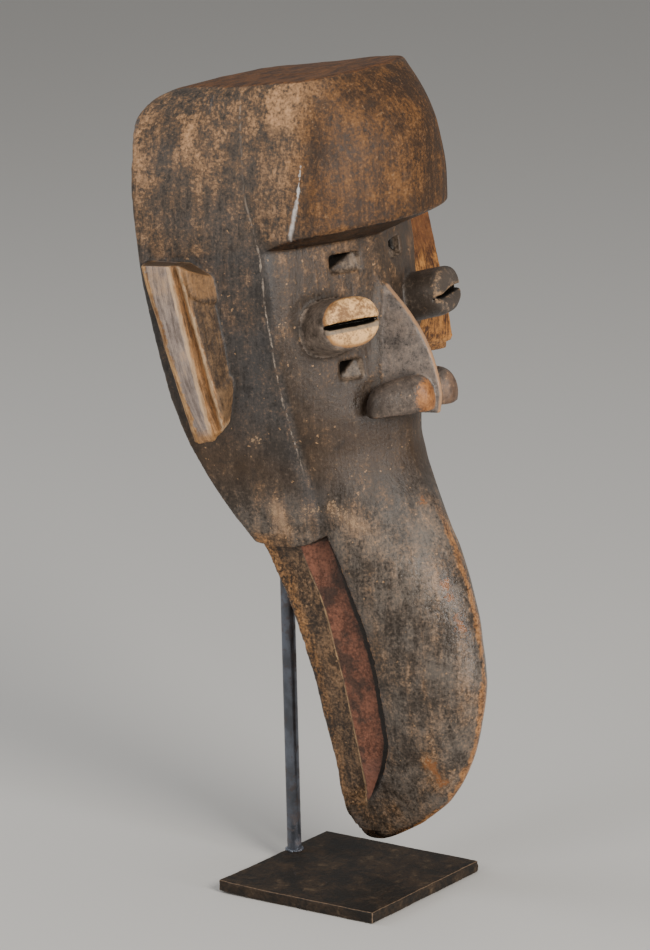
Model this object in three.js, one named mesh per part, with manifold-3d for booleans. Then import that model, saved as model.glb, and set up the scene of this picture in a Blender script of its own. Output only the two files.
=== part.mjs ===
// A carved wooden beaked mask held on a steel rod with a square steel foot plate.
// Millimetres, +Z up. The origin is the middle of the plate's underside, and the mask faces -Y.
// Mask dimensions are given as half-width from its middle plane, forward distance and height.

import * as THREE from 'three';
import { mergeVertices } from 'three/addons/utils/BufferGeometryUtils.js';
import Module from 'manifold-3d';

const wasm = await Module();
wasm.setup();

// Stand
const PLATE_SIDE = 102;
const PLATE_THICK = 6.4;
const ROD_RADIUS = 3.9;
const ROD_SIDES = 32;
const ROD_BEHIND_MIDDLE = 46.3;
const TOUCH_GAP = 0.3;

// Middle plane of the mask, measured across from the middle of the plate
const MASK_ACROSS = 14.3;

// Head and beak, one line for each height: half-width and forward distance of the rear rim,
// the same of the cheek crease, which runs down into the edge of the upper beak, the forward
// distance of the middle line, and how round the face is between crease and middle line
const HEAD_STATIONS = [
  { z: 456, rim: [40, -70], crease: [50, -30], middle: 4, round: 1.3 },
  { z: 441, rim: [51, -75], crease: [55, -27.5], middle: 6, round: 1.3 },
  { z: 430, rim: [64, -81.5], crease: [58.5, -25.5], middle: 8, round: 1.25 },
  { z: 421, rim: [75, -82], crease: [61, -24], middle: 9, round: 1.2 },
  { z: 407, rim: [83, -79.2], crease: [64, -21.5], middle: 11, round: 1.2 },
  { z: 384, rim: [88, -76.7], crease: [67.5, -17.4], middle: 14.5, round: 1.2 },
  { z: 352, rim: [89, -72.8], crease: [68, -7.4], middle: 18.8, round: 1.2 },
  { z: 332, rim: [88.5, -69.6], crease: [67.3, -4.6], middle: 21.8, round: 1.2 },
  { z: 311, rim: [87, -66], crease: [65.3, -2.4], middle: 25, round: 1.25 },
  { z: 287, rim: [84.5, -61.4], crease: [61, -1.2], middle: 29.5, round: 1.3 },
  { z: 262, rim: [80.5, -54.5], crease: [54, 0.5], middle: 36.4, round: 1.35 },
  { z: 248, rim: [77, -49.8], crease: [49.5, 1.7], middle: 37, round: 1.4 },
  { z: 234, rim: [72.5, -44.8], crease: [47.5, 4.7], middle: 40.5, round: 1.45 },
  { z: 217, rim: [65.5, -37.5], crease: [45, 7.7], middle: 49, round: 1.5 },
  { z: 201, rim: [57.5, -29.5], crease: [42.6, 10.8], middle: 57.8, round: 1.5 },
  { z: 188, rim: [50, -25], crease: [41, 16], middle: 64.4, round: 1.55 },
  { z: 167, rim: [42, -18.8], crease: [37, 22.6], middle: 72.3, round: 1.6 },
  { z: 145, rim: [36, -14.4], crease: [33.2, 28.3], middle: 77.6, round: 1.65 },
  { z: 117, rim: [30.5, -9], crease: [29, 32.4], middle: 80.4, round: 1.7 },
  { z: 88, rim: [25, -5.5], crease: [23.5, 33], middle: 76, round: 1.7 },
  { z: 72, rim: [22, -3.3], crease: [19.2, 28.3], middle: 70.6, round: 1.75 },
  { z: 53, rim: [18.8, -1.5], crease: [14, 17.5], middle: 59.2, round: 1.8 },
  { z: 38, rim: [14.5, -0.2], crease: [10.5, 7.5], middle: 42.2, round: 1.9 },
  { z: 29, rim: [9.5, 3.5], crease: [8, 6.5], middle: 27.5, round: 2 },
  { z: 22.6, rim: [4, 4.5], crease: [3.6, 5.5], middle: 15, round: 2 },
];
const HEAD_LEVELS = 44;
const HEAD_TOP_LEVELS = 14;
const HEAD_TOP_FROM = 398;
const SIDE_STEPS = 4;
const SIDE_BULGE = 1.5;
const FACE_STEPS = 9;
const FACE_CROWDING = 1.35;

// Flat crown, sloping down towards the back
const CROWN_HEIGHT = 443.8;
const CROWN_SLOPE = 7.5;

// Forehead block: half-width and forward distance of its corner edge, and how far the front
// swells beyond that edge at the middle
const FOREHEAD_STATIONS = [
  { z: 367, corner: [65, 8.7], swell: 38 },
  { z: 390, corner: [60.5, 11.5], swell: 35 },
  { z: 410, corner: [55.5, 10.5], swell: 34.5 },
  { z: 421, corner: [52.5, 9], swell: 32 },
  { z: 431, corner: [49.5, 7.4], swell: 27 },
  { z: 441, corner: [46, 4.6], swell: 20 },
  { z: 452, corner: [42, 2.5], swell: 8 },
];
const FOREHEAD_ROUND = 1.7;
const FOREHEAD_LEVELS = 13;
const FOREHEAD_STEPS = 18;
const BROW_HEIGHT = 365.4;
const BROW_SLOPE = 7;
const BROW_FOOT_HEIGHT = 356.5;
const BLOCK_OVERLAP = [8, 16];

// Hollow behind the face, open at the back
const WALL_SIDE = 10;
const WALL_FACE = 13;
const WALL_CREASE = 9;
const HOLLOW_BOTTOM = 205;
const HOLLOW_ROOF = 412;
const HOLLOW_LEVELS = 16;
const HOLLOW_BEYOND_RIM = 14;
const HOLLOW_END_ROUND = 26;
const HOLLOW_END_SCALE = 0.72;

// Tube eyes with two lids and a slit
const EYE_MIDDLE = [46, 34.2, 321];
const EYE_OUTWARD = 15;
const EYE_UPWARD = 8;
const EYE_HALF_WIDTH = 19.5;
const EYE_HALF_HEIGHT = 13.6;
const EYE_FLARE = 1.05;
const EYE_DEPTH = 38;
const EYE_FLARE_FROM = 9;
const EYE_EDGE_ROUND = 2.2;
const EYE_ROUND = 2.5;
const EYE_STEPS = 28;
const EYE_SLIT_HEIGHT = 3.2;
const EYE_SLIT_DEPTH = 11;
const EYE_SLIT_HALF_LENGTH = 19;

// Viewing slots above and below each eye
const UPPER_SLOT = { inner: 13.5, outer: 32, middle: 345.5, height: 9.5 };
const LOWER_SLOT = { inner: 21.5, outer: 34, middle: 290, height: 10 };
const SLOT_DEPTH = 60;

// Nose: a tall wedge with a narrow ridge, flat sides and two nostril lobes
const NOSE_STATIONS = [
  { z: 333, ridge: 20, foot: 4 },
  { z: 327, ridge: 27.5, foot: 7 },
  { z: 314.5, ridge: 40, foot: 11 },
  { z: 301, ridge: 49.3, foot: 14.5 },
  { z: 288, ridge: 54.6, foot: 17 },
  { z: 275, ridge: 57.3, foot: 18.5 },
  { z: 267, ridge: 56.2, foot: 18 },
];
const NOSE_RIDGE_HALF = 1.6;
const NOSE_LEVELS = 12;
const NOSE_FOOT_SINK = 8;
const LOBE_BACK = [24.5, 35, 271];
const LOBE_FRONT = [9, 51.4, 275.3];
const LOBE_BACK_RADIUS = 8;
const LOBE_FRONT_RADIUS = 9;
const LOBE_SQUASH = 1.12;
const LOBE_BLUNTNESS = 4;
const LOBE_STEPS = 14;
const LOBE_SIDES = 18;
const LOBE_UNDERSIDE = 263.5;

// Ears: long grooved planks down each side. Each profile point is its distance along the side from
// the rim and how far it stands out, at the ear's top, middle and foot, and how much higher its
// foot ends. The ear on the mask's left sits further forward and ends higher up
const EAR_PROFILE = [
  { top: [2.5, -6], middle: [4, -6], foot: [4, -6], raise: 5 },
  { top: [8.3, 18.5], middle: [11.8, 17], foot: [9.6, 18.5], raise: 1 },
  { top: [9.7, 20.5], middle: [13.3, 19], foot: [10.8, 20.5], raise: 0 },
  { top: [24.2, 20], middle: [24.8, 18.5], foot: [18.8, 20], raise: 0 },
  { top: [25.6, 16.5], middle: [27, 13.5], foot: [21.5, 15.5], raise: 1 },
  { top: [27, 16.5], middle: [30.5, 13.5], foot: [26.5, 15.5], raise: 1 },
  { top: [28.6, 19.5], middle: [33, 17.5], foot: [29.2, 19.5], raise: 2 },
  { top: [30.4, 18.8], middle: [35, 16.5], foot: [30.8, 18.8], raise: 4 },
  { top: [41.5, -3], middle: [43, -3], foot: [41, -3], raise: 25 },
];
const EAR_TOP = 352;
const EAR_MIDDLE = 306;
const EAR_FOOT = 257;
const EAR_LEVELS = 7;
const EAR_LEFT = { forward: [22, 28, 34], further: [6, 7, 9], raise: 18 };

// Mouth: a recessed red strip along each side of the beak, under the edge of the upper beak,
// with the lower beak's ridge behind it and the cheek standing over its top
const MOUTH_STATIONS = [
  { z: 201, ridge: [43.5, -9], depth: 7 },
  { z: 184, ridge: [39.5, -4.9], depth: 7.2 },
  { z: 162, ridge: [35.4, 2.4], depth: 7 },
  { z: 131, ridge: [30.3, 7.5], depth: 6.5 },
  { z: 102.6, ridge: [25.7, 11.3], depth: 5.8 },
  { z: 75, ridge: [20.2, 13.1], depth: 4.4 },
  { z: 58, ridge: [16, 13.5], depth: 2.4 },
  { z: 48, ridge: [13, 11.5], depth: 0.8 },
];
const MOUTH_LEVELS = 30;
const MOUTH_OUTSIDE = 90;
const MOUTH_BEHIND = 30;
const MOUTH_RIM_STEP = 1;
const CHEEK_STEP = [[-34, 197.5], [-14, 194], [-2, 195.5], [6, 199], [11.2, 202]];

const surface = (name, color, roughness, metalness) => (
  new THREE.MeshStandardMaterial({ name, color, roughness, metalness }));
const wood = surface('patinated wood', 0x4a3b30, 0.62, 0);
const rodSteel = surface('blackened steel', 0x23252a, 0.42, 0.8);
const plateSteel = surface('rusted steel', 0x2e2620, 0.7, 0.6);

const radians = THREE.MathUtils.degToRad;
const mix = THREE.MathUtils.lerp;

// Smooth value through the points (x, y), with x rising: a cubic whose slopes never overshoot
function smoothThrough(xs, ys, x) {
  const last = xs.length - 1;
  if (x <= xs[0]) return ys[0];
  if (x >= xs[last]) return ys[last];
  let i = 0;
  while (x > xs[i + 1]) i += 1;
  const rise = (k) => (ys[k + 1] - ys[k]) / (xs[k + 1] - xs[k]);
  const slope = (k) => {
    if (k === 0) return rise(0);
    if (k === last) return rise(last - 1);
    const before = rise(k - 1);
    const after = rise(k);
    return before * after <= 0 ? 0 : 2 * before * after / (before + after);
  };
  const width = xs[i + 1] - xs[i];
  const t = (x - xs[i]) / width;
  const t2 = t * t;
  const t3 = t2 * t;
  return (2 * t3 - 3 * t2 + 1) * ys[i] + (t3 - 2 * t2 + t) * width * slope(i)
    + (3 * t2 - 2 * t3) * ys[i + 1] + (t3 - t2) * width * slope(i + 1);
}

// A reader for one list of stations: read(height, station => value)
function stationReader(stations) {
  const rising = [...stations].sort((a, b) => a.z - b.z);
  const heights = rising.map((station) => station.z);
  return (z, pick) => smoothThrough(heights, rising.map(pick), z);
}
const head = stationReader(HEAD_STATIONS);
const forehead = stationReader(FOREHEAD_STATIONS);
const nose = stationReader(NOSE_STATIONS);
const mouth = stationReader(MOUTH_STATIONS);

const rimAt = (z) => [head(z, (s) => s.rim[0]), head(z, (s) => s.rim[1])];
const creaseAt = (z) => [head(z, (s) => s.crease[0]), head(z, (s) => s.crease[1])];
const middleAt = (z) => head(z, (s) => s.middle);

// Forward distance of a rounded front at a share of its half-width, 0 in the middle and 1 at its end
const swellAt = (share, round) => Math.max(0, 1 - Math.abs(share) ** round) ** (1 / round);

// Forward distance of the face at a half-width and height
function faceAt(half, z) {
  const [creaseHalf, creaseForward] = creaseAt(z);
  const share = Math.min(1, Math.abs(half) / creaseHalf);
  return creaseForward + (middleAt(z) - creaseForward) * swellAt(share, head(z, (s) => s.round));
}

const spread = (count, from, to) => Array.from({ length: count }, (_, i) => mix(from, to, i / (count - 1)));

// Point of the mask, from half-width (positive on the mask's left), forward distance and height
const maskPoint = (half, forward, z) => new THREE.Vector3(half, -forward, z);

// Closed solid through rings of equal point count, each ring a list of Vector3
function loft(rings) {
  const count = rings[0].length;
  const positions = [];
  rings.forEach((ring) => ring.forEach((p) => positions.push(p.x, p.y, p.z)));
  const faces = [];
  for (let r = 0; r + 1 < rings.length; r += 1) {
    for (let i = 0; i < count; i += 1) {
      const a = r * count + i;
      const b = r * count + (i + 1) % count;
      faces.push([a, b, b + count], [a, b + count, a + count]);
    }
  }
  [0, rings.length - 1].forEach((r) => {
    const middle = new THREE.Vector3();
    rings[r].forEach((p) => middle.add(p));
    middle.divideScalar(count);
    const centre = positions.length / 3;
    positions.push(middle.x, middle.y, middle.z);
    for (let i = 0; i < count; i += 1) {
      const a = r * count + i;
      const b = r * count + (i + 1) % count;
      faces.push(r === 0 ? [b, a, centre] : [a, b, centre]);
    }
  });
  const geometry = new THREE.BufferGeometry();
  geometry.setAttribute('position', new THREE.Float32BufferAttribute(positions, 3));
  geometry.setIndex(faces.flat());
  return geometry;
}

// Manifold solid of a closed geometry, turned outward if its faces point in
function solid(geometry) {
  const bare = geometry.clone();
  bare.deleteAttribute('normal');
  bare.deleteAttribute('uv');
  const merged = mergeVertices(bare, 1e-4);
  const vertProperties = new Float32Array(merged.attributes.position.array);
  const triVerts = new Uint32Array(merged.index.array);
  const v = (k) => new THREE.Vector3().fromArray(vertProperties, 3 * triVerts[k]);
  let volume = 0;
  for (let k = 0; k < triVerts.length; k += 3) volume += v(k).dot(v(k + 1).cross(v(k + 2)));
  if (volume < 0) {
    for (let k = 0; k < triVerts.length; k += 3) {
      [triVerts[k], triVerts[k + 1]] = [triVerts[k + 1], triVerts[k]];
    }
  }
  return new wasm.Manifold(new wasm.Mesh({ numProp: 3, vertProperties, triVerts }));
}

function geometryOf(manifold) {
  const mesh = manifold.getMesh();
  const geometry = new THREE.BufferGeometry();
  geometry.setAttribute('position', new THREE.Float32BufferAttribute(mesh.vertProperties, 3));
  geometry.setIndex([...mesh.triVerts]);
  return geometry;
}

// One ring of the head: near rim, side, crease, face, far crease, far rim
function headRing(z) {
  const [rimHalf, rimForward] = rimAt(z);
  const [creaseHalf, creaseForward] = creaseAt(z);
  const sideLength = creaseForward - rimForward;
  const right = [];
  for (let i = 0; i < SIDE_STEPS; i += 1) {
    const t = i / SIDE_STEPS;
    const bulge = SIDE_BULGE * Math.min(1, sideLength / 60) * 4 * t * (1 - t);
    right.push([mix(rimHalf, creaseHalf, t) + bulge, mix(rimForward, creaseForward, t)]);
  }
  for (let i = 0; i < FACE_STEPS; i += 1) {
    const half = creaseHalf * Math.cos((i / FACE_STEPS) * Math.PI / 2) ** FACE_CROWDING;
    right.push([half, faceAt(half, z)]);
  }
  const left = right.map(([half, forward]) => [-half, forward]).reverse();
  return [...right, [0, middleAt(z)], ...left].map(([half, forward]) => maskPoint(half, forward, z));
}

function headSolid() {
  const top = HEAD_STATIONS[0].z;
  const bottom = HEAD_STATIONS[HEAD_STATIONS.length - 1].z;
  const lower = spread(HEAD_LEVELS, bottom, HEAD_TOP_FROM);
  const upper = spread(HEAD_TOP_LEVELS, HEAD_TOP_FROM, top).slice(1);
  return solid(loft([...lower, ...upper].map(headRing)));
}

// Outline of the forehead block at a height: inside the head at the back, round the front
function foreheadOutline(z) {
  const [creaseHalf, creaseForward] = creaseAt(z);
  const [cornerHalf, cornerForward] = [forehead(z, (s) => s.corner[0]), forehead(z, (s) => s.corner[1])];
  const swell = forehead(z, (s) => s.swell);
  const right = [
    [creaseHalf - BLOCK_OVERLAP[0], creaseForward - BLOCK_OVERLAP[1]],
    [creaseHalf - TOUCH_GAP, creaseForward],
    [mix(creaseHalf, cornerHalf, 0.5) + TOUCH_GAP, mix(creaseForward, cornerForward, 0.5)],
  ];
  for (let i = 0; i < FOREHEAD_STEPS / 2; i += 1) {
    const share = Math.cos((i / FOREHEAD_STEPS) * Math.PI);
    right.push([cornerHalf * share, cornerForward + swell * swellAt(share, FOREHEAD_ROUND)]);
  }
  const left = right.map(([half, forward]) => [-half, forward]).reverse();
  return [...right, [0, cornerForward + swell], ...left];
}

function foreheadSolid() {
  const top = FOREHEAD_STATIONS[FOREHEAD_STATIONS.length - 1].z;
  const browOutline = foreheadOutline(FOREHEAD_STATIONS[0].z);
  const foot = browOutline.map(([half, forward]) => {
    const inside = Math.min(forward, faceAt(half, BROW_FOOT_HEIGHT)) - 1;
    return maskPoint(half * 0.985, inside, BROW_FOOT_HEIGHT);
  });
  const brow = browOutline.map(([half, forward]) => (
    maskPoint(half, forward, BROW_HEIGHT + Math.tan(radians(BROW_SLOPE)) * forward)));
  const upper = spread(FOREHEAD_LEVELS, 375, top).map((z) => (
    foreheadOutline(z).map(([half, forward]) => maskPoint(half, forward, z))));
  return solid(loft([foot, brow, ...upper]));
}

// Everything above the sloping crown
function aboveCrown() {
  const slab = new THREE.BoxGeometry(300, 300, 100);
  slab.translate(0, 0, 50);
  slab.rotateX(-radians(CROWN_SLOPE));
  slab.translate(0, 0, CROWN_HEIGHT);
  return solid(slab);
}

// Hollow behind the face: the head's ring moved in by the wall, running out past the rim
function hollowRing(z, scale) {
  const [rimHalf, rimForward] = rimAt(z);
  const [creaseHalf, creaseForward] = creaseAt(z);
  const backForward = rimForward - HOLLOW_BEYOND_RIM;
  const innerCrease = [creaseHalf - WALL_CREASE, creaseForward - WALL_CREASE];
  const right = [
    [rimHalf - WALL_SIDE, backForward],
    [mix(rimHalf, creaseHalf, 0.35) - WALL_SIDE, mix(rimForward, creaseForward, 0.35)],
    innerCrease,
  ];
  for (let i = 1; i < 6; i += 1) {
    const half = innerCrease[0] * Math.cos((i / 6) * Math.PI / 2);
    right.push([half, Math.max(innerCrease[1], faceAt(half, z) - WALL_FACE)]);
  }
  const left = right.map(([half, forward]) => [-half, forward]).reverse();
  const ring = [...right, [0, middleAt(z) - WALL_FACE], ...left];
  return ring.map(([half, forward]) => (
    maskPoint(half * scale, mix(backForward, forward, scale), z)));
}

function hollowSolid() {
  const rings = spread(HOLLOW_LEVELS, HOLLOW_BOTTOM, HOLLOW_ROOF).map((z) => {
    const toEnd = Math.min(z - HOLLOW_BOTTOM, HOLLOW_ROOF - z, HOLLOW_END_ROUND) / HOLLOW_END_ROUND;
    return hollowRing(z, mix(HOLLOW_END_SCALE, 1, Math.sqrt(1 - (1 - toEnd) ** 2)));
  });
  return solid(loft(rings));
}

// One eye, made pointing forward along -Y with its front face at the origin, then turned into place
function placeEye(geometry, side) {
  geometry.rotateX(-radians(EYE_UPWARD));
  geometry.rotateZ(side * radians(EYE_OUTWARD));
  geometry.translate(side * EYE_MIDDLE[0], -EYE_MIDDLE[1], EYE_MIDDLE[2]);
  return geometry;
}

function eyeRing(depth, scale) {
  return Array.from({ length: EYE_STEPS }, (_, i) => {
    const angle = (i / EYE_STEPS) * 2 * Math.PI;
    const power = 2 / EYE_ROUND;
    const across = Math.sign(Math.cos(angle)) * Math.abs(Math.cos(angle)) ** power;
    const up = Math.sign(Math.sin(angle)) * Math.abs(Math.sin(angle)) ** power;
    return new THREE.Vector3(scale * EYE_HALF_WIDTH * across, depth, scale * EYE_HALF_HEIGHT * up);
  });
}

function eyeSolid(side) {
  const shrunk = 1 - EYE_EDGE_ROUND / EYE_HALF_HEIGHT;
  const rings = [
    eyeRing(0, shrunk),
    eyeRing(EYE_EDGE_ROUND * 0.4, mix(shrunk, 1, 0.75)),
    eyeRing(EYE_EDGE_ROUND * 1.4, 1),
    eyeRing(EYE_FLARE_FROM, 1.03),
    eyeRing(EYE_DEPTH * 0.6, EYE_FLARE),
    eyeRing(EYE_DEPTH, EYE_FLARE),
  ];
  return solid(placeEye(loft(rings), side));
}

// The slit between the lids, a wedge that narrows inwards
function slitSolid(side) {
  const outline = new THREE.Shape();
  outline.moveTo(-2, -EYE_SLIT_HEIGHT / 2);
  outline.lineTo(EYE_SLIT_DEPTH, -EYE_SLIT_HEIGHT / 5);
  outline.lineTo(EYE_SLIT_DEPTH, EYE_SLIT_HEIGHT / 5);
  outline.lineTo(-2, EYE_SLIT_HEIGHT / 2);
  outline.closePath();
  const slit = new THREE.ExtrudeGeometry(outline, { depth: 2 * EYE_SLIT_HALF_LENGTH, bevelEnabled: false });
  slit.translate(0, 0, -EYE_SLIT_HALF_LENGTH);
  const inward = new THREE.Vector3(0, 1, 0);
  const up = new THREE.Vector3(0, 0, 1);
  const across = new THREE.Vector3(1, 0, 0);
  slit.applyMatrix4(new THREE.Matrix4().makeBasis(inward, up, across));
  return solid(placeEye(slit, side));
}

function slotSolid(slot, side) {
  const width = slot.outer - slot.inner;
  const box = new THREE.BoxGeometry(width, SLOT_DEPTH, slot.height);
  const half = (slot.inner + slot.outer) / 2;
  box.translate(side * half, -faceAt(half, slot.middle), slot.middle);
  return solid(box);
}

function noseSolid() {
  const bottom = NOSE_STATIONS[NOSE_STATIONS.length - 1].z;
  const top = NOSE_STATIONS[0].z;
  const rings = spread(NOSE_LEVELS, bottom, top).map((z) => {
    const ridge = nose(z, (s) => s.ridge);
    const foot = nose(z, (s) => s.foot);
    const back = faceAt(foot, z) - NOSE_FOOT_SINK;
    const shoulder = mix(back, ridge, 0.93);
    return [
      [foot, back], [NOSE_RIDGE_HALF * 1.6, shoulder], [NOSE_RIDGE_HALF * 0.7, ridge],
      [-NOSE_RIDGE_HALF * 0.7, ridge], [-NOSE_RIDGE_HALF * 1.6, shoulder], [-foot, back],
    ].map(([half, forward]) => maskPoint(half, forward, z));
  });
  return solid(loft(rings));
}

// A nostril lobe: a fat teardrop from the cheek to the nose's tip, flat below
function lobeSolid(side) {
  const back = maskPoint(side * LOBE_BACK[0], LOBE_BACK[1], LOBE_BACK[2]);
  const front = maskPoint(side * LOBE_FRONT[0], LOBE_FRONT[1], LOBE_FRONT[2]);
  const axis = front.clone().sub(back);
  const length = axis.length() + LOBE_BACK_RADIUS + LOBE_FRONT_RADIUS;
  axis.normalize();
  const start = back.clone().addScaledVector(axis, -LOBE_BACK_RADIUS);
  const profile = Array.from({ length: LOBE_STEPS + 1 }, (_, i) => {
    const share = (1 - Math.cos((i / LOBE_STEPS) * Math.PI)) / 2;
    const full = mix(LOBE_BACK_RADIUS, LOBE_FRONT_RADIUS, share);
    const radius = full * Math.sqrt(Math.max(0, 1 - (2 * share - 1) ** LOBE_BLUNTNESS));
    return new THREE.Vector2(radius, share * length);
  });
  profile[0].x = 0;
  profile[LOBE_STEPS].x = 0;
  const lobe = new THREE.LatheGeometry(profile, LOBE_SIDES);
  lobe.applyQuaternion(new THREE.Quaternion().setFromUnitVectors(new THREE.Vector3(0, 1, 0), axis));
  lobe.scale(1, 1, LOBE_SQUASH);
  lobe.translate(start.x, start.y, start.z);
  const under = new THREE.BoxGeometry(120, 200, 60);
  under.translate(0, 0, LOBE_UNDERSIDE - 30);
  return solid(lobe).subtract(solid(under));
}

// Point beside the head: along its side from the rim, out from it, at a height
function besideHead(side, z, along, out) {
  const rim = new THREE.Vector2(...rimAt(z));
  const run = new THREE.Vector2(...creaseAt(z)).sub(rim).normalize();
  const half = rim.x + run.x * along + run.y * out;
  const forward = rim.y + run.y * along - run.x * out;
  return maskPoint(side * half, forward, z);
}

// An ear: its profile carried smoothly through its places at the top, middle and foot
function earSolid(side) {
  const shift = side > 0 ? EAR_LEFT : { forward: [0, 0, 0], further: [0, 0, 0], raise: 0 };
  const lines = EAR_PROFILE.map((point) => {
    const heights = [EAR_TOP, EAR_MIDDLE + shift.raise / 2, EAR_FOOT + point.raise + shift.raise];
    return [point.top, point.middle, point.foot].map(([along, out], k) => besideHead(side, heights[k],
      along + shift.forward[k], out > 0 ? out + shift.further[k] : out));
  });
  const rings = spread(EAR_LEVELS, 0, 2).map((t) => lines.map((line) => new THREE.Vector3(
    smoothThrough([0, 1, 2], line.map((p) => p.x), t),
    smoothThrough([0, 1, 2], line.map((p) => p.y), t),
    smoothThrough([0, 1, 2], line.map((p) => p.z), t),
  )));
  return solid(loft(rings));
}

// What is cut away beside the lower beak: all outside its side face and the recessed strip
function mouthCut(side) {
  const stepForwards = CHEEK_STEP.map((p) => p[0]);
  const stepHeights = CHEEK_STEP.map((p) => p[1]);
  const bottom = MOUTH_STATIONS[MOUTH_STATIONS.length - 1].z;
  const rings = spread(MOUTH_LEVELS, 0, 1).map((t) => {
    const z = mix(CHEEK_STEP[CHEEK_STEP.length - 1][1], bottom, t);
    const [rimHalf, rimForward] = rimAt(z);
    const [edgeHalf, edgeForward] = creaseAt(z);
    const ridge = [mouth(z, (s) => s.ridge[0]), mouth(z, (s) => s.ridge[1])];
    const depth = mouth(z, (s) => s.depth);
    const outline = [
      [MOUTH_OUTSIDE, rimForward - MOUTH_BEHIND],
      [rimHalf - MOUTH_RIM_STEP, rimForward - MOUTH_BEHIND],
      [rimHalf - MOUTH_RIM_STEP, rimForward],
      ridge,
      [edgeHalf - depth, edgeForward],
      [MOUTH_OUTSIDE, edgeForward],
    ];
    return outline.map(([half, forward]) => {
      const step = smoothThrough(stepForwards, stepHeights, forward);
      return maskPoint(side * half, forward, mix(step, bottom, t));
    });
  });
  return solid(loft(rings));
}

function maskSolid() {
  const sides = [-1, 1];
  let mask = headSolid().add(foreheadSolid());
  sides.forEach((side) => { mask = mask.subtract(mouthCut(side)); });
  mask = mask.add(noseSolid());
  sides.forEach((side) => { mask = mask.add(lobeSolid(side)).add(earSolid(side)).add(eyeSolid(side)); });
  mask = mask.subtract(hollowSolid()).subtract(aboveCrown());
  sides.forEach((side) => {
    mask = mask.subtract(slitSolid(side));
    mask = mask.subtract(slotSolid(UPPER_SLOT, side)).subtract(slotSolid(LOWER_SLOT, side));
  });
  return mask;
}

function plateGeometry() {
  const outline = new THREE.Shape();
  const half = PLATE_SIDE / 2;
  outline.moveTo(-half, -half);
  outline.lineTo(half, -half);
  outline.lineTo(half, half);
  outline.lineTo(-half, half);
  outline.closePath();
  return new THREE.ExtrudeGeometry(outline, { depth: PLATE_THICK, bevelEnabled: false });
}

function rodGeometry(from, to) {
  const rod = new THREE.CylinderGeometry(ROD_RADIUS, ROD_RADIUS, to - from, ROD_SIDES);
  rod.rotateX(Math.PI / 2);
  rod.translate(0, 0, (from + to) / 2);
  return rod;
}

function named(name, geometry, material) {
  const mesh = new THREE.Mesh(geometry, material);
  mesh.name = name;
  return mesh;
}

const object = new THREE.Group();

const mask = named('mask', geometryOf(maskSolid()), wood);
mask.position.x = MASK_ACROSS;
object.add(mask);

const rodTop = HOLLOW_ROOF - TOUCH_GAP;
const rod = named('rod', rodGeometry(PLATE_THICK + TOUCH_GAP, rodTop), rodSteel);
rod.position.set(MASK_ACROSS, ROD_BEHIND_MIDDLE, 0);
object.add(rod);

object.add(named('base_plate', plateGeometry(), plateSteel));

export default object;
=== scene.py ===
"""A carved wooden mask with a long beak, held on a steel rod with a square foot plate."""
import functools
import itertools
import math

import bpy
import bmesh
import numpy as np
from mathutils import Matrix, Vector


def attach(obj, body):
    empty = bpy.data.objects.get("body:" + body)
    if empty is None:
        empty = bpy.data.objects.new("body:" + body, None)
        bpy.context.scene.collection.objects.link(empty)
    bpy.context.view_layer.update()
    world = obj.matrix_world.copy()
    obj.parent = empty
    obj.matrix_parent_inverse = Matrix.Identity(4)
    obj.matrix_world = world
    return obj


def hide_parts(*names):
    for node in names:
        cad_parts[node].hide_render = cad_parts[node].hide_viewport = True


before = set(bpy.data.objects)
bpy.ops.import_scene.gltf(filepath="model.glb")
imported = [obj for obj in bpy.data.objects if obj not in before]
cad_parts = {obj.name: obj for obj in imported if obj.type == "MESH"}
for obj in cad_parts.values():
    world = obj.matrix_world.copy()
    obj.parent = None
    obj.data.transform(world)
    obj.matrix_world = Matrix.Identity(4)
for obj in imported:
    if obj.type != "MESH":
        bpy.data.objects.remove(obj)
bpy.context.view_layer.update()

MM = 0.001
PER_METRE = 1000.0

bl_info = {
    "name": "Beaked mask on a rod stand",
    "version": (1, 0, 0),
    "blender": (4, 5, 0),
    "location": "View3D > Sidebar > Mask",
    "description": "Builds a carved and worn wooden mask, its steel stand and a plain stage",
    "category": "Object",
}

# Lengths are in millimetres unless metres are named. The mask is carved in its own frame: half-width
# from its middle plane, distance forward and height above the foot plate's underside.
MASK_ACROSS = 14.3

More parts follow.
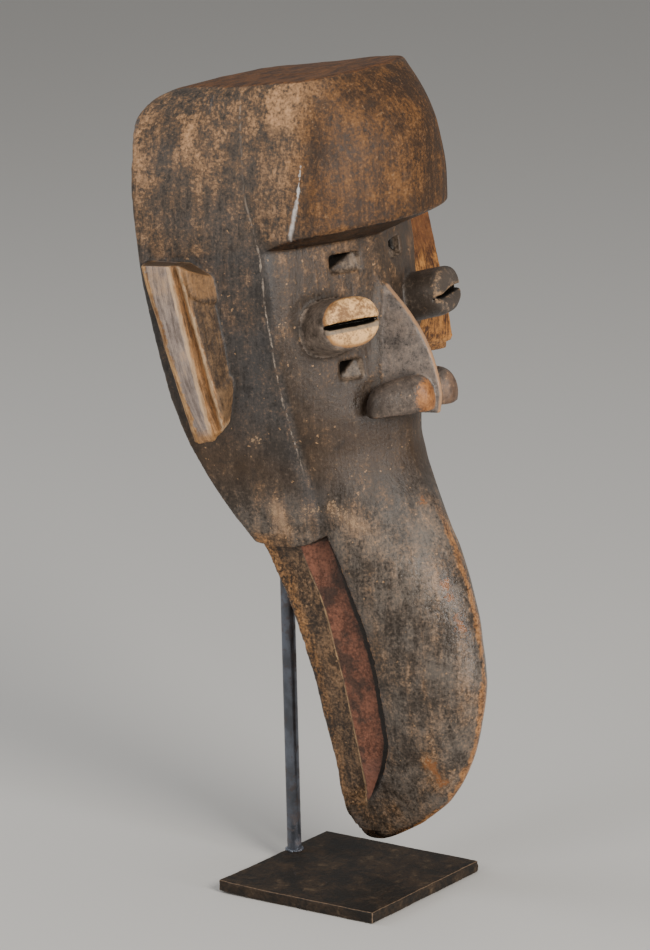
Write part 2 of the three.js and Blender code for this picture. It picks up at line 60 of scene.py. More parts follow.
# Height, then half-width and forward distance of the rear rim, the same of the cheek crease, the
# forward distance of the middle line and the roundness of the face between them
HEAD = (
    (456, 40, -70, 50, -30, 4, 1.3),
    (441, 51, -75, 55, -27.5, 6, 1.3),
    (430, 64, -81.5, 58.5, -25.5, 8, 1.25),
    (421, 75, -82, 61, -24, 9, 1.2),
    (407, 83, -79.2, 64, -21.5, 11, 1.2),
    (384, 88, -76.7, 67.5, -17.4, 14.5, 1.2),
    (352, 89, -72.8, 68, -7.4, 18.8, 1.2),
    (332, 88.5, -69.6, 67.3, -4.6, 21.8, 1.2),
    (311, 87, -66, 65.3, -2.4, 25, 1.25),
    (287, 84.5, -61.4, 61, -1.2, 29.5, 1.3),
    (262, 80.5, -54.5, 54, 0.5, 36.4, 1.35),
    (248, 77, -49.8, 49.5, 1.7, 37, 1.4),
    (234, 72.5, -44.8, 47.5, 4.7, 40.5, 1.45),
    (217, 65.5, -37.5, 45, 7.7, 49, 1.5),
    (201, 57.5, -29.5, 42.6, 10.8, 57.8, 1.5),
    (188, 50, -25, 41, 16, 64.4, 1.55),
    (167, 42, -18.8, 37, 22.6, 72.3, 1.6),
    (145, 36, -14.4, 33.2, 28.3, 77.6, 1.65),
    (117, 30.5, -9, 29, 32.4, 80.4, 1.7),
    (88, 25, -5.5, 23.5, 33, 76, 1.7),
    (72, 22, -3.3, 19.2, 28.3, 70.6, 1.75),
    (53, 18.8, -1.5, 14, 17.5, 59.2, 1.8),
    (38, 14.5, -0.2, 10.5, 7.5, 42.2, 1.9),
    (29, 9.5, 3.5, 8, 6.5, 27.5, 2),
    (22.6, 4, 4.5, 3.6, 5.5, 15, 2),
)
SIDE_BULGE = 1.5
TIP_HEIGHT = 22.6
CROWN_HEIGHT, CROWN_SLOPE = 443.8, math.radians(7.5)

# How far behind its front the crown is fully lifted, the lift there and how much of it the left loses
CROWN_DEPTH, CROWN_LIFT, CROWN_FALL = 60, 1.5, 4.5

# Height, then half-width and forward distance of the forehead's corner and how far its front swells
FOREHEAD = (
    (367, 65, 8.7, 38),
    (390, 60.5, 11.5, 35),
    (410, 55.5, 10.5, 34.5),
    (421, 52.5, 9, 32),
    (431, 49.5, 7.4, 27),
    (441, 46, 4.6, 20),
    (452, 42, 2.5, 8),
)
FOREHEAD_ROUND, FOREHEAD_BACK = 1.7, 16
BROW_HEIGHT, BROW_SLOPE, BROW_FOOT = 363.3, math.tan(math.radians(9.5)), 356.5

WALL_SIDE, WALL_FACE, WALL_CREASE = 10, 13, 9
HOLLOW_BOTTOM, HOLLOW_ROOF = 205, 412

EYE_MIDDLE = (44.4, 34.2, 321.8)
EYE_OUTWARD, EYE_UPWARD = math.radians(15), math.radians(14)
EYE_HALF_WIDTH, EYE_HALF_HEIGHT = 18.4, 11.8
EYE_ROOT, EYE_SQUARENESS, EYE_ROUNDING = 40, 2.4, 4.5

# Width of the tube as a share, at distances inward, and how its underside deepens on each side
EYE_NARROWER, EYE_DEEPENING = ((0, 8, 20, 38), (1, 1.0, 0.92, 0.82)), ((0, 6, 38), (0, 0.8, 1.2))
EYE_DEEPER_RIGHT, EYE_DEEPER_LEFT = 2.4, 0.8
SLIT_DROP, SLIT_HALF_GAP, SLIT_DEPTH, SLIT_HALF_WIDTH = 1.8, 1.8, 13, 20

# Inner and outer half-width, middle height and height of each viewing slot
SLOTS = ((13.5, 32, 345.5, 9.5), (21.5, 34, 290, 10))
SLOT_SHALLOW, SLOT_DEEPER, SLOT_THROUGH = 1.5, 4.5, 25

# Height, forward distance of the nose's ridge and half-width of its foot
NOSE = ((333, 20, 4), (327, 27.5, 7), (314.5, 40, 11), (301, 49.3, 14.5), (288, 54.6, 17),
        (275, 57.3, 18.5), (267, 56.2, 18))
NOSE_RIDGE_HALF, NOSE_BOTTOM, NOSE_TOP = 1.6, 265, 334
NOSE_SUNK, NOSE_SHOULDER = 8, 0.93
LOBE_BACK, LOBE_FRONT = (23.4, 35.8, 269.6), (11, 49.2, 271.8)
LOBE_BACK_RADIUS, LOBE_FRONT_RADIUS, LOBE_SQUASH = 8.6, 9.6, 1.5
LOBE_UNDERSIDE, LOBE_RISE = 266, 0.12

# Distance along the side from the rim and outward, at the ear's top, middle and foot, and how much
# higher the foot ends
EAR = (
    ((2.5, -6), (4, -6), (4, -6), 5),
    ((8.3, 18.5), (11.8, 17), (9.6, 18.5), 1),
    ((9.7, 20.5), (13.3, 19), (10.8, 20.5), 0),
    ((23.4, 20), (24.4, 18.5), (18.8, 20), 1),
    ((25, 16.2), (26.4, 13.5), (21, 15.5), 3),
    ((26.6, 16.2), (28.6, 13.5), (24.4, 15.5), 5),
    ((28.4, 19.3), (31, 17), (27, 18.5), 7),
    ((30.4, 18.6), (33, 16), (28.6, 17.5), 9),
    ((41.5, -3), (41, -3), (38, -3), 28),
)
EAR_TOP, EAR_MIDDLE, EAR_FOOT = 352, 306, 257
EAR_LEFT_FORWARD, EAR_LEFT_FURTHER, EAR_LEFT_RAISE = (22, 28, 34), (6, 7, 9), 18

# Height, half-width and forward distance of the lower beak's ridge and the depth under the upper
# beak's edge
MOUTH = ((201, 43.5, -9, 7), (184, 39.5, -4.9, 7.2), (162, 35.4, 2.4, 7), (131, 30.3, 7.5, 6.5),
         (102.6, 25.7, 11.3, 5.8), (75, 20.2, 13.1, 4.4), (58, 16, 13.5, 2.4), (48, 13, 11.5, 0.8))
MOUTH_FOOT, MOUTH_UNDERCUT = 46, 0.16
CHEEK_STEP = ((-34, 197.5), (-14, 194), (-2, 195.5), (6, 199), (11.2, 202))

# Heights, and how far the scratched line lies behind the crease there
LINE_BEHIND = ((250, 330, 370), (2.6, 2.3, 0))

# The right ear's foot is ragged below this height, fully so this much lower
RAGGED_BELOW, RAGGED_OVER = 266, 7

# Heights along the beak, how far its rubbed band lies to the mask's left there, and half its width
RUBBED_BAND, RUBBED_HALF = ((100, 150, 222), (0.8, 3.6, 4.6)), 2.0

# Scratches and chips, each a line between two places and its half-width: pale ones and orange ones
PALE_MARKS = (
    ((-56.3, -14.5, 218.1), (-53.5, -11, 210.3), 0.9), ((-53.5, -11, 210.3), (-50.4, -7, 201.9), 0.8),
    ((-47.6, 2.6, 217.6), (-45, 7.5, 214.6), 1.3), ((-66.4, -10.5, 294.5), (-66.4, -10.5, 293.5), 0.7),
    ((-42, 16, 217), (-34.9, 28.6, 206.9), 1.8), ((-63.1, -19.4, 254.7), (-62.5, -18.5, 253.8), 0.6),
    ((-60.5, -29, 357), (-62, -28, 348), 0.5),
)
ORANGE_MARKS = (
    ((-11.5, 64.5, 175), (-10, 67.5, 168), 1.5), ((-9.4, 70.5, 159), (-9, 72.5, 152), 1.1),
    ((-6.5, 46.5, 219.5), (-6.3, 47, 217.5), 0.8), ((-15.8, 54.6, 79), (-9, 58.5, 64), 2.2),
)

# Value of a distance where it doesn't count, and the corners of a cell of the block
FAR_OFF = 60.0
CORNERS = tuple(itertools.product((0, 1), repeat=3))

# Corner and size of the block that the mask is carved from, and how many triangles its skin keeps
BLOCK_CORNER, BLOCK_SIZE, SKIN_TRIANGLES = (-112.0, -92.0, 17.0), (224, 178, 434), 192000

# Seeds of the tool marks, of the chips and of the plate's sawn sides, and the size of their lattice
MARKS_SEED, CHIPS_SEED, SAW_SEED, LATTICE = 3, 8, 21, 48

# Radius in metres, number and seed of the weld drops round the rod's foot
DROP_RADIUS, DROPS, DROP_SEED = 0.0013, 13, 4

# Cuts across the plate, radius of its edges, mean depth of its sawn sides and lift of one corner
PLATE_CUTS, PLATE_ROUNDING, SAWN_DEPTH, CORNER_LIFT = 72, 1, 0.35, 0.9

# Soft round lights: name, place and width in metres, power in watts, colour, and where they all aim
LIGHTS = (
    ("key light", (-0.75, -1.9, 1.25), 0.9, 44, (1, 0.95, 0.88)),
    ("front light", (-0.2, -2.1, 0.3), 0.4, 13, (1, 0.98, 0.97)),
    ("side light", (-1.9, 0.2, 1.0), 0.8, 9, (1, 0.97, 0.93)),
    ("back light", (-0.6, 1.8, 1.2), 1.2, 12, (0.97, 0.98, 1)),
    ("top light", (0.1, 0.1, 1.9), 1.4, 6, (1, 1, 1)),
)
LIGHTS_AIM = (0.01, 0, 0.24)
ROOM_COLOUR, ROOM_STRENGTH = (1.0, 0.985, 0.96, 1), 0.3

# The photo's camera: turn, dip and roll in degrees, place in metres, lens and sensor
CAMERA_TURN, CAMERA_DIP, CAMERA_ROLL = 54.42, 14.18, -1.45
CAMERA_PLACE, CAMERA_LENS, CAMERA_SENSOR = (-2.0979, -1.4917, 0.8781), 189.5, 36

# Floor's radius and depth under the plate, in metres
FLOOR_RADIUS, FLOOR_DROP = 9, 0.0002


def smooth_through(xs, ys, x):
    """Value through the points, x rising: a cubic whose slopes never overshoot."""
    xs, ys = np.asarray(xs, float), np.asarray(ys, float)
    rise = np.diff(ys) / np.diff(xs)
    before, after = rise[:-1], rise[1:]
    total = np.where(before + after == 0, 1, before + after)
    inner = np.where(before * after <= 0, 0, 2 * before * after / total)
    slope = np.concatenate([rise[:1], inner, rise[-1:]])
    x = np.clip(np.asarray(x, float), xs[0], xs[-1])
    i = np.clip(np.searchsorted(xs, x, side="left") - 1, 0, len(xs) - 2)
    width = xs[i + 1] - xs[i]
    t = (x - xs[i]) / width
    return ((2 * t**3 - 3 * t**2 + 1) * ys[i] + (t**3 - 2 * t**2 + t) * width * slope[i]
            + (3 * t**2 - 2 * t**3) * ys[i + 1] + (t**3 - t**2) * width * slope[i + 1])


def rails(stations):
    """Readers for the columns of a station table, each a value at a height."""
    rising = sorted(stations)
    heights = [row[0] for row in rising]
    fine = np.arange(heights[0], heights[-1] + 0.25, 0.25)

    def reader(column):
        table = smooth_through(heights, [row[column] for row in rising], fine)
        return lambda z: np.interp(z, fine, table).astype(np.float32)

    return [reader(column) for column in range(1, len(rising[0]))]


RIM_HALF, RIM_FORWARD, CREASE_HALF, CREASE_FORWARD, MIDDLE, ROUND = rails(HEAD)
CORNER_HALF, CORNER_FORWARD, SWELL = rails(FOREHEAD)
RIDGE, NOSE_FOOT = rails(NOSE)
JAW_HALF, JAW_FORWARD, JAW_DEPTH = rails(MOUTH)


def step_height(forward):
    """Height of the cheek's step over the mouth."""
    return smooth_through(*zip(*CHEEK_STEP), forward).astype(np.float32)


def rounded_max(a, b, radius):
    """The larger of two distances, which cuts one form by another with a rounded edge."""
    near = np.maximum(radius - np.abs(a - b), 0) / radius
    return np.maximum(a, b) + near * near * (radius * 0.25)


def rounded_min(a, b, radius):
    """The smaller of two distances, which joins two forms with a fillet."""
    return -rounded_max(-a, -b, radius)


def swell(share, power):
    """Forward share of a rounded front, 1 in the middle and 0 at its end."""
    return np.maximum(0, 1 - np.minimum(1, share) ** power) ** (1 / power)


def face_at(half, z):
    """Forward distance of the face."""
    crease = CREASE_FORWARD(z)
    return crease + (MIDDLE(z) - crease) * swell(half / CREASE_HALF(z), ROUND(z))


def forehead_at(half, z):
    """Forward distance of the forehead block's front."""
    return CORNER_FORWARD(z) + SWELL(z) * swell(half / CORNER_HALF(z), FOREHEAD_ROUND)


def steepness(height_at, half, z):
    """Length of the slope vector of a front, which turns a forward distance into a true one."""
    across = height_at(half + 0.6, z) - height_at(np.abs(half - 0.6), z)
    along = height_at(half, z + 0.6) - height_at(half, z - 0.6)
    return np.sqrt(1 + np.clip(across / 1.2, -14, 14) ** 2 + np.clip(along / 1.2, -3, 3) ** 2)


def beside_line(half, forward, start, end):
    """Distance outward from the line between two plan points."""
    run_half, run_forward = end[0] - start[0], end[1] - start[1]
    length = np.hypot(run_half, run_forward)
    return ((half - start[0]) * (run_forward / length)
            - (forward - start[1]) * (run_half / length))


def along_side(half, forward, z):
    """Distance from the rim towards the crease, and the length between them."""
    rim_half, rim_forward = RIM_HALF(z), RIM_FORWARD(z)
    run_half, run_forward = CREASE_HALF(z) - rim_half, CREASE_FORWARD(z) - rim_forward
    length = np.hypot(run_half, run_forward)
    return ((half - rim_half) * (run_half / length)
            + (forward - rim_forward) * (run_forward / length)), length


def flat_side(half, forward, z):
    """Distance outward from the flat side of the head."""
    return beside_line(half, forward, (RIM_HALF(z), RIM_FORWARD(z)),
                       (CREASE_HALF(z), CREASE_FORWARD(z)))


def side_form(half, forward, z):
    """Distance outward from the gently bulging side."""
    along, length = along_side(half, forward, z)
    share = np.clip(along / length, 0, 1)
    flat = flat_side(half, forward, z)
    flat = np.where(forward > CREASE_FORWARD(z), np.minimum(flat, half - CREASE_HALF(z)), flat)
    return flat - SIDE_BULGE * np.minimum(1, length / 60) * 4 * share * (1 - share)


def crown_height(x, forward):
    """Height of the crown, which slopes back and sags towards its left rear corner."""
    behind = np.clip(-forward / CROWN_DEPTH, 0, 1)
    lift = CROWN_LIFT - CROWN_FALL * np.clip((x + 20) / 80, 0, 1) ** 2
    return CROWN_HEIGHT + math.tan(CROWN_SLOPE) * forward + behind * lift


def block_form(half, forward, z):
    """The forehead block, which stands forward of the face."""
    corner = (CORNER_HALF(z), CORNER_FORWARD(z))
    crease = (CREASE_HALF(z), CREASE_FORWARD(z))
    form = rounded_max(beside_line(half, forward, crease, corner),
                       (forward - forehead_at(half, z)) / steepness(forehead_at, half, z), radius=1.4)
    brow = forehead_at(half, np.float32(FOREHEAD[0][0]))
    foot = np.minimum(brow, face_at(half, np.float32(BROW_FOOT))) - 1
    share = np.clip((forward - foot) / np.maximum(brow - foot, 1), 0, 1)
    under = BROW_FOOT + share * (BROW_HEIGHT + BROW_SLOPE * brow - BROW_FOOT)
    form = rounded_max(form, (under - z) * 0.93, radius=1.8)
    return np.maximum(form, crease[1] - FOREHEAD_BACK - forward)


def mouth_form(half, forward, z):
    """What is cut away beside the lower beak."""
    rim = (RIM_HALF(z) - np.clip((z - 50) / 25, 0, 1), RIM_FORWARD(z))
    jaw = (JAW_HALF(z), JAW_FORWARD(z))
    edge_half, edge_forward = CREASE_HALF(z), CREASE_FORWARD(z)
    facets = rounded_max(
        beside_line(half, forward, rim, jaw),
        beside_line(half, forward, jaw, (edge_half - JAW_DEPTH(z), edge_forward)), radius=1.0)
    undercut = MOUTH_UNDERCUT * np.clip(edge_half - half, 0, 9)
    cut = rounded_max(-facets, forward - edge_forward - undercut, radius=0.8)
    return np.maximum(np.maximum(cut, z - step_height(forward)), MOUTH_FOOT - z)


def hollow_form(half, forward, z):
    """The hollow behind the face."""
    inner_face = np.maximum(CREASE_FORWARD(z) - WALL_CREASE, face_at(half, z) - WALL_FACE)
    form = rounded_max(flat_side(half, forward, z) + WALL_SIDE,
                       (forward - inner_face) / steepness(face_at, half, z), radius=12)
    form = rounded_max(form, HOLLOW_BOTTOM - z, radius=22)
    return rounded_max(form, z - HOLLOW_ROOF, radius=18)


def nose_form(half, forward, z):
    """The wedge of the nose."""
    ridge, foot = RIDGE(z), NOSE_FOOT(z)
    back = face_at(foot, z) - NOSE_SUNK
    shoulder = back + NOSE_SHOULDER * (ridge - back)
    side = beside_line(half, forward, (foot, back), (NOSE_RIDGE_HALF * 1.6, shoulder))
    lean = RIDGE(z + 0.5) - RIDGE(z - 0.5)
    form = rounded_max(side, (forward - ridge) / np.sqrt(1 + lean**2), radius=1.2)
    return np.maximum(np.maximum(form, NOSE_BOTTOM - z), z - NOSE_TOP)


def lobe_form(half, forward, z):
    """A nostril lobe, flat underneath."""
    back, front = np.array(LOBE_BACK, float), np.array(LOBE_FRONT, float)
    axis = front - back
    length = np.linalg.norm(axis) + LOBE_BACK_RADIUS + LOBE_FRONT_RADIUS
    axis /= np.linalg.norm(axis)
    start = back - axis * LOBE_BACK_RADIUS
    offset = (half - start[0], forward - start[1], (z - start[2]) / LOBE_SQUASH)
    along = sum(o * a for o, a in zip(offset, axis)) / length
    off_axis = np.sqrt(np.maximum(sum(o * o for o in offset) - (along * length) ** 2, 0))
    radius = LOBE_BACK_RADIUS + (LOBE_FRONT_RADIUS - LOBE_BACK_RADIUS) * np.clip(along, 0, 1)
    form = (np.sqrt((2 * along - 1) ** 4 + (off_axis / radius) ** 2) - 1) * radius
    return rounded_max(form, LOBE_UNDERSIDE + LOBE_RISE * (forward - back[1]) - z, radius=1.0)


def eye_place(half, forward, z):
    """Place in an eye: across, inward from its front and up."""
    x, y, up = half - EYE_MIDDLE[0], EYE_MIDDLE[1] - forward, z - EYE_MIDDLE[2]
    turned = x * math.cos(EYE_OUTWARD) + y * math.sin(EYE_OUTWARD)
    inward = -x * math.sin(EYE_OUTWARD) + y * math.cos(EYE_OUTWARD)
    return (turned, inward * math.cos(EYE_UPWARD) - up * math.sin(EYE_UPWARD),
            inward * math.sin(EYE_UPWARD) + up * math.cos(EYE_UPWARD))


def eye_round(across, inward, up, left):
    """1 on the tube's skin and less inside it: narrower at its root and deeper below the lids."""
    width = EYE_HALF_WIDTH * np.interp(inward, *EYE_NARROWER).astype(np.float32)
    deeper = np.interp(inward, *EYE_DEEPENING).astype(np.float32)
    deeper = deeper * np.where(left, EYE_DEEPER_LEFT, EYE_DEEPER_RIGHT)
    height = EYE_HALF_HEIGHT + deeper
    return (np.abs(across / width) ** EYE_SQUARENESS
            + np.abs((up + deeper) / height) ** EYE_SQUARENESS) ** (1 / EYE_SQUARENESS)


def eye_form(half, forward, z, left):
    """A tube eye."""
    across, inward, up = eye_place(half, forward, z)
    skin = (eye_round(across, inward, up, left) - 1) * EYE_HALF_HEIGHT
    return np.maximum(rounded_max(skin, -inward, EYE_ROUNDING), inward - EYE_ROOT)


def slit_form(half, forward, z):
    """The slit between the lids, with the lower lid bevelled into it."""
    across, inward, up = eye_place(half, forward, z)
    up = up + SLIT_DROP
    taper = np.clip(1.05 - (np.abs(across) / 20.5) ** 4, 0.15, 1)
    gap = SLIT_HALF_GAP * taper * np.clip(1 - inward / 26, 0.4, 1) * np.clip(1 + across / 40, 0.5, 1)
    bevel = np.maximum(-up - gap - np.clip(3.2 * taper - inward * 1.4, 0, 4), up)
    bottom = inward - SLIT_DEPTH + 8 * np.minimum(np.abs(across) / 18, 1.2) ** 3
    ends = np.abs(across) - SLIT_HALF_WIDTH
    return np.maximum(np.minimum(np.abs(up) - gap, bevel), np.maximum(bottom, ends))


def slot_form(half, forward, z, slot):
    """A viewing slot: a sloped recess that only breaks through at its outer upper corner."""
    inner, outer, middle, height = slot
    width = outer - inner
    deep = face_at(half, z) - forward
    beyond, over = (half - inner) / width, (z - middle) / height + 0.5
    mouth = rounded_max(np.abs(half - (inner + outer) / 2) - width / 2,
                        np.abs(z - middle) - height / 2, radius=1.6)
    to_corner = np.clip(beyond + over, 0, 2) / 2
    recess = np.maximum(mouth, (deep - SLOT_SHALLOW - SLOT_DEEPER * to_corner) * 0.8)
    slant = (1.02 - beyond - over) * height * 0.8 + np.maximum(deep - 4, 0) * 0.12
    channel = np.maximum(np.maximum(slant, np.abs(z - middle) - height / 2 + 0.3),
                         np.maximum(half - outer + 0.3 + np.clip(deep * 0.35 - 1, 0, 4), inner - 3 - half))
    return np.maximum(np.minimum(recess, channel), -deep - SLOT_THROUGH)


def ear_lines(left):
    """The ear's profile points as lines from foot to top: half-width and forward distance at a height."""
    lines = []
    for *places, raised in EAR:
        heights = [EAR_TOP, EAR_MIDDLE + left * EAR_LEFT_RAISE / 2,
                   EAR_FOOT + raised + left * EAR_LEFT_RAISE]
        points = []
        for k, (along, out) in enumerate(places):
            along += left * EAR_LEFT_FORWARD[k]
            out += left * EAR_LEFT_FURTHER[k] * (out > 0)
            z = heights[k]
            rim = np.array([RIM_HALF(z), RIM_FORWARD(z)], float)
            run = np.array([CREASE_HALF(z), CREASE_FORWARD(z)], float) - rim
            run /= np.linalg.norm(run)
            points.append((*(rim + run * along + np.array([run[1], -run[0]]) * out), z))
        share = np.linspace(0, 2, 60)
        half, forward, height = (smooth_through([0, 1, 2], column, share)[::-1] for column in zip(*points))
        lines.append((height, half, forward))
    return lines


def ear_form(half, forward, z, left):
    """One ear, a grooved plank with a worn top and foot."""
    points = [tuple(np.interp(z, height, line).astype(np.float32) for line in lines)
              for height, *lines in ear_lines(left)]
    nearest = np.float32(1e6)
    inside = np.zeros(np.broadcast(half, forward, z).shape, bool)
    # Each edge of the outline that a place lies beside turns it from outside to inside or back
    for (ax, ay), (bx, by) in zip(points, points[1:] + points[:1]):
        ex, ey = bx - ax, by - ay
        wx, wy = half - ax, forward - ay
        share = np.clip((wx * ex + wy * ey) / (ex * ex + ey * ey), 0, 1)
        nearest = np.minimum(nearest, (wx - ex * share) ** 2 + (wy - ey * share) ** 2)
        above, below, beyond = forward >= ay, forward < by, ex * wy > ey * wx
        inside ^= (above & below & beyond) | (~above & ~below & ~beyond)
    form = np.sqrt(nearest) * np.where(inside, -1, 1)
    along, _ = along_side(half, forward, z)
    # The right ear's front wall is thicker above a curved line near its top and below a slanting one
    if not left:
        lip = 333.5 - 0.9 * (along - 33) + 0.14 * (along - 36) ** 2
        slab = np.clip((z - lip) / 1.5, 0, 1) * np.clip((along - 31) / 2, 0, 1)
        slant = np.clip((282 + 1.3 * (along - 31) - z) / 1.3, 0, 1) * np.clip((along - 29.5) / 1.5, 0, 1)
        form = form - (2.0 * slab + 1.2 * slant).astype(np.float32)
    feet = [row[2][0] + left * EAR_LEFT_FORWARD[2] for row in EAR]
    foot = np.interp(along, feet, [EAR_FOOT + row[3] + left * EAR_LEFT_RAISE for row in EAR])
    top = EAR_TOP - 0.6 * np.maximum(along - left * EAR_LEFT_FORWARD[0] - 30, 0) * (1 - left)
    top = top + 0.1 * (flat_side(half, forward, z) - 18)
    form = rounded_max(form, z - top, radius=1.4)
    return rounded_max(form, foot.astype(np.float32) - z, radius=1.4)


def columns(*values):
    """Up to three numbers for each point, side by side, with 0 for a missing one."""
    rows = np.zeros((len(values[0]), 3))
    for k, value in enumerate(values):
        rows[:, k] = value
    return rows


def between_corners(part, value_at):
    """Mean of the values at a cell's eight corners, weighted by a place's share of the way to each."""
    total = 0
    for corner in CORNERS:
        first, second, third = (part[:, k] if ahead else 1 - part[:, k] for k, ahead in enumerate(corner))
        total = total + first * second * third * value_at(corner)
    return total


class Block:
    """The block of wood: distances to the carved surface on a regular grid."""

    def __init__(self, grain):
        self.grain = grain
        self.origin = np.array(BLOCK_CORNER)
        self.shape = [int(size / grain) + 1 for size in BLOCK_SIZE]
        self.ticks = [start + grain * np.arange(count, dtype=np.float32)
                      for start, count in zip(self.origin, self.shape)]
        self.distance = None

    def window(self, low, high):
        """Slices and coordinates of part of the grid."""
        parts = [slice(*np.searchsorted(self.ticks[k], (low[k], high[k]))) for k in range(3)]
        x, forward, z = (self.ticks[k][parts[k]].astype(np.float32) for k in range(3))
        return tuple(parts), (x[:, None, None], forward[None, :, None], z[None, None, :])

    def work(self, low, high, form, radius, cut=False, sided=False):
        """Joins a form to the block, or cuts it away, within a box on each side of the middle plane."""
        for left, side in enumerate((-1, 1)):
            across = sorted((side * low[0], side * high[0]))
            parts, (x, forward, z) = self.window((across[0], *low[1:]), (across[1], *high[1:]))
            piece = form(np.abs(x), forward, z, *([left] if sided else [])).astype(np.float32)
            there = self.distance[parts]
            self.distance[parts] = (rounded_max(there, -piece, radius) if cut
                                    else rounded_min(there, piece, radius))

    def carve(self):
        """Works the whole mask out of the block."""
        x, forward, z = self.window((-1e3,) * 3, (1e3,) * 3)[1]
        half = np.abs(x)
        head = rounded_max(side_form(half, forward, z),
                           (forward - face_at(half, z)) / steepness(face_at, half, z), radius=1.4)
        head = rounded_max(head, RIM_FORWARD(z) - forward, radius=2.4)
        head = rounded_max(head, TIP_HEIGHT - z, radius=3)
        head = rounded_min(head, block_form(half, forward, z), radius=1.2)
        rounding = np.interp(forward, (-70, -10), (12, 2.2)).astype(np.float32)
        self.distance = rounded_max(head, z - crown_height(x, forward), rounding).astype(np.float32)
        self.work((0, -60, 40), (75, 45, 206), mouth_form, radius=1.1, cut=True)
        self.work((0, -10, 262), (24, 62, 338), nose_form, radius=5.0)
        self.work((0, 20, 258), (40, 66, 290), lobe_form, radius=1.2)
        self.work((18, -14, 296), (74, 54, 344), eye_form, radius=2.5, sided=True)
        self.work((0, -92, 195), (90, 40, 416), hollow_form, radius=2.2, cut=True)
        for slot in SLOTS:
            inner, outer, middle, _ = slot
            self.work((inner - 3, -30, middle - 9), (outer + 3, 45, middle + 9),
                      functools.partial(slot_form, slot=slot), radius=1.0, cut=True)
        self.work((20, 15, 310), (70, 52, 332), slit_form, radius=0.8, cut=True)
        self.work((45, -84, 250), (112, 22, 358), ear_form, radius=1.0, sided=True)

    def read(self, grid, points):
        """Values of a grid at points, between its ticks."""
        place = np.clip((points - self.origin) / self.grain, 0, np.array(grid.shape) - 1.001)
        cell = place.astype(int)
        return between_corners(place - cell, lambda corner: grid[tuple((cell + corner).T)])

    def outward(self, points):
        """Directions straight out of the carved surface."""
        reach = self.grain * 0.6
        slope = columns(*(self.read(self.distance, points + step) - self.read(self.distance, points - step)
                          for step in reach * np.eye(3)))
        return slope / (2 * reach)

    def skin(self):
        """Corner points and quads of the carved surface, one point in each cell that it crosses."""
        inside = self.distance < 0
        cells = [size - 1 for size in self.shape]
        count = np.zeros(cells, np.uint8)
        for i, j, k in CORNERS:
            count += inside[i:i + cells[0], j:j + cells[1], k:k + cells[2]]
        where = np.nonzero((count > 0) & (count < 8))
        number = np.full(cells, -1, np.int32)
        number[where] = np.arange(len(where[0]))
        points = self.origin + self.grain * (np.stack(where, axis=1) + self.crossings(where))
        # Three small steps bring the points onto the surface
        for _ in range(3):
            slope = self.outward(points)
            size = np.maximum((slope**2).sum(axis=1), 0.05)
            push = np.clip(self.read(self.distance, points) / size, -0.5 * self.grain, 0.5 * self.grain)
            points = points - slope * push[:, None]
        return points, quads_between(inside, number)

    def crossings(self, where):
        """Mean place within each cell at which the surface crosses its edges."""
        value = {c: self.distance[tuple(w + c[k] for k, w in enumerate(where))] for c in CORNERS}
        total, count = np.zeros((len(where[0]), 3)), np.zeros(len(where[0]))
        for a in CORNERS:
            for axis in range(3):
                if a[axis]:
                    continue
                b = tuple(int(v or k == axis) for k, v in enumerate(a))
                crossed = (value[a] < 0) != (value[b] < 0)
                share = np.where(crossed, value[a] / np.where(crossed, value[a] - value[b], 1), 0)
                point = np.tile(np.array(a, float), (len(share), 1))
                point[:, axis] += share
                total += point * crossed[:, None]
                count += crossed
        return total / count[:, None]

    def wood(self):
        """How much of each cell is wood, from 0 to 1."""
        slope = np.sqrt(sum(part * part for part in np.gradient(self.distance, self.grain)))
        return np.clip(0.5 - self.distance / (np.maximum(slope, 0.3) * 2.2 * self.grain), 0, 1)


def quads_between(inside, number):
    """Quads that part wood from air, each over the four numbered cells round an edge of the grid."""
    quads = []
    for axis in range(3):
        p, q = [(1, 2), (2, 0), (0, 1)][axis]
        low, high = [slice(1, -1)] * 3, [slice(1, -1)] * 3
        low[axis], high[axis] = slice(0, -1), slice(1, None)
        start, end = inside[tuple(low)], inside[tuple(high)]
        for flip in (False, True):
            edge = np.nonzero((start & ~end) if flip else (~start & end))
            at = [edge[k] + (0 if k == axis else 1) for k in range(3)]
            ring = []
            for dp, dq in ((1, 1), (0, 1), (0, 0), (1, 0)):
                cell = list(at)
                cell[p], cell[q] = cell[p] - dp, cell[q] - dq
                ring.append(number[tuple(cell)])
            quads.append(np.stack(ring if flip else ring[::-1], axis=1))
    return np.concatenate(quads)


def softened(grid, spacing):
    """A grid blurred over a few ticks each way."""
    for axis in range(3):
        total = grid * np.float32(0.4)
        for shift, weight in zip((-2, -1, 1, 2), (0.06, 0.24, 0.24, 0.06)):
            total += np.roll(grid, shift * spacing, axis) * np.float32(weight)
        grid = total
    return grid


class Lumps:
    """Smooth random values over space, the same every time."""

    def __init__(self, seed):
        self.lattice = np.random.default_rng(seed).random((LATTICE,) * 3) * 2 - 1

    def at(self, points, size):
        """Values at points, in lumps of about this size."""
        place = points / size + 500.0
        cell = np.floor(place).astype(int)
        part = place - cell
        part = part * part * (3 - 2 * part)
        return between_corners(part, lambda corner: self.lattice[tuple((cell + corner).T % LATTICE)])


def linked(name, data):
    """New object of a mesh, light or camera, in the scene."""
    piece = bpy.data.objects.new(name, data)
    bpy.context.scene.collection.objects.link(piece)
    return piece


def mesh_of(made, name):
    """New mesh out of a finished bmesh, which is freed."""
    mesh = bpy.data.meshes.new(name)
    made.to_mesh(mesh)
    made.free()
    return mesh


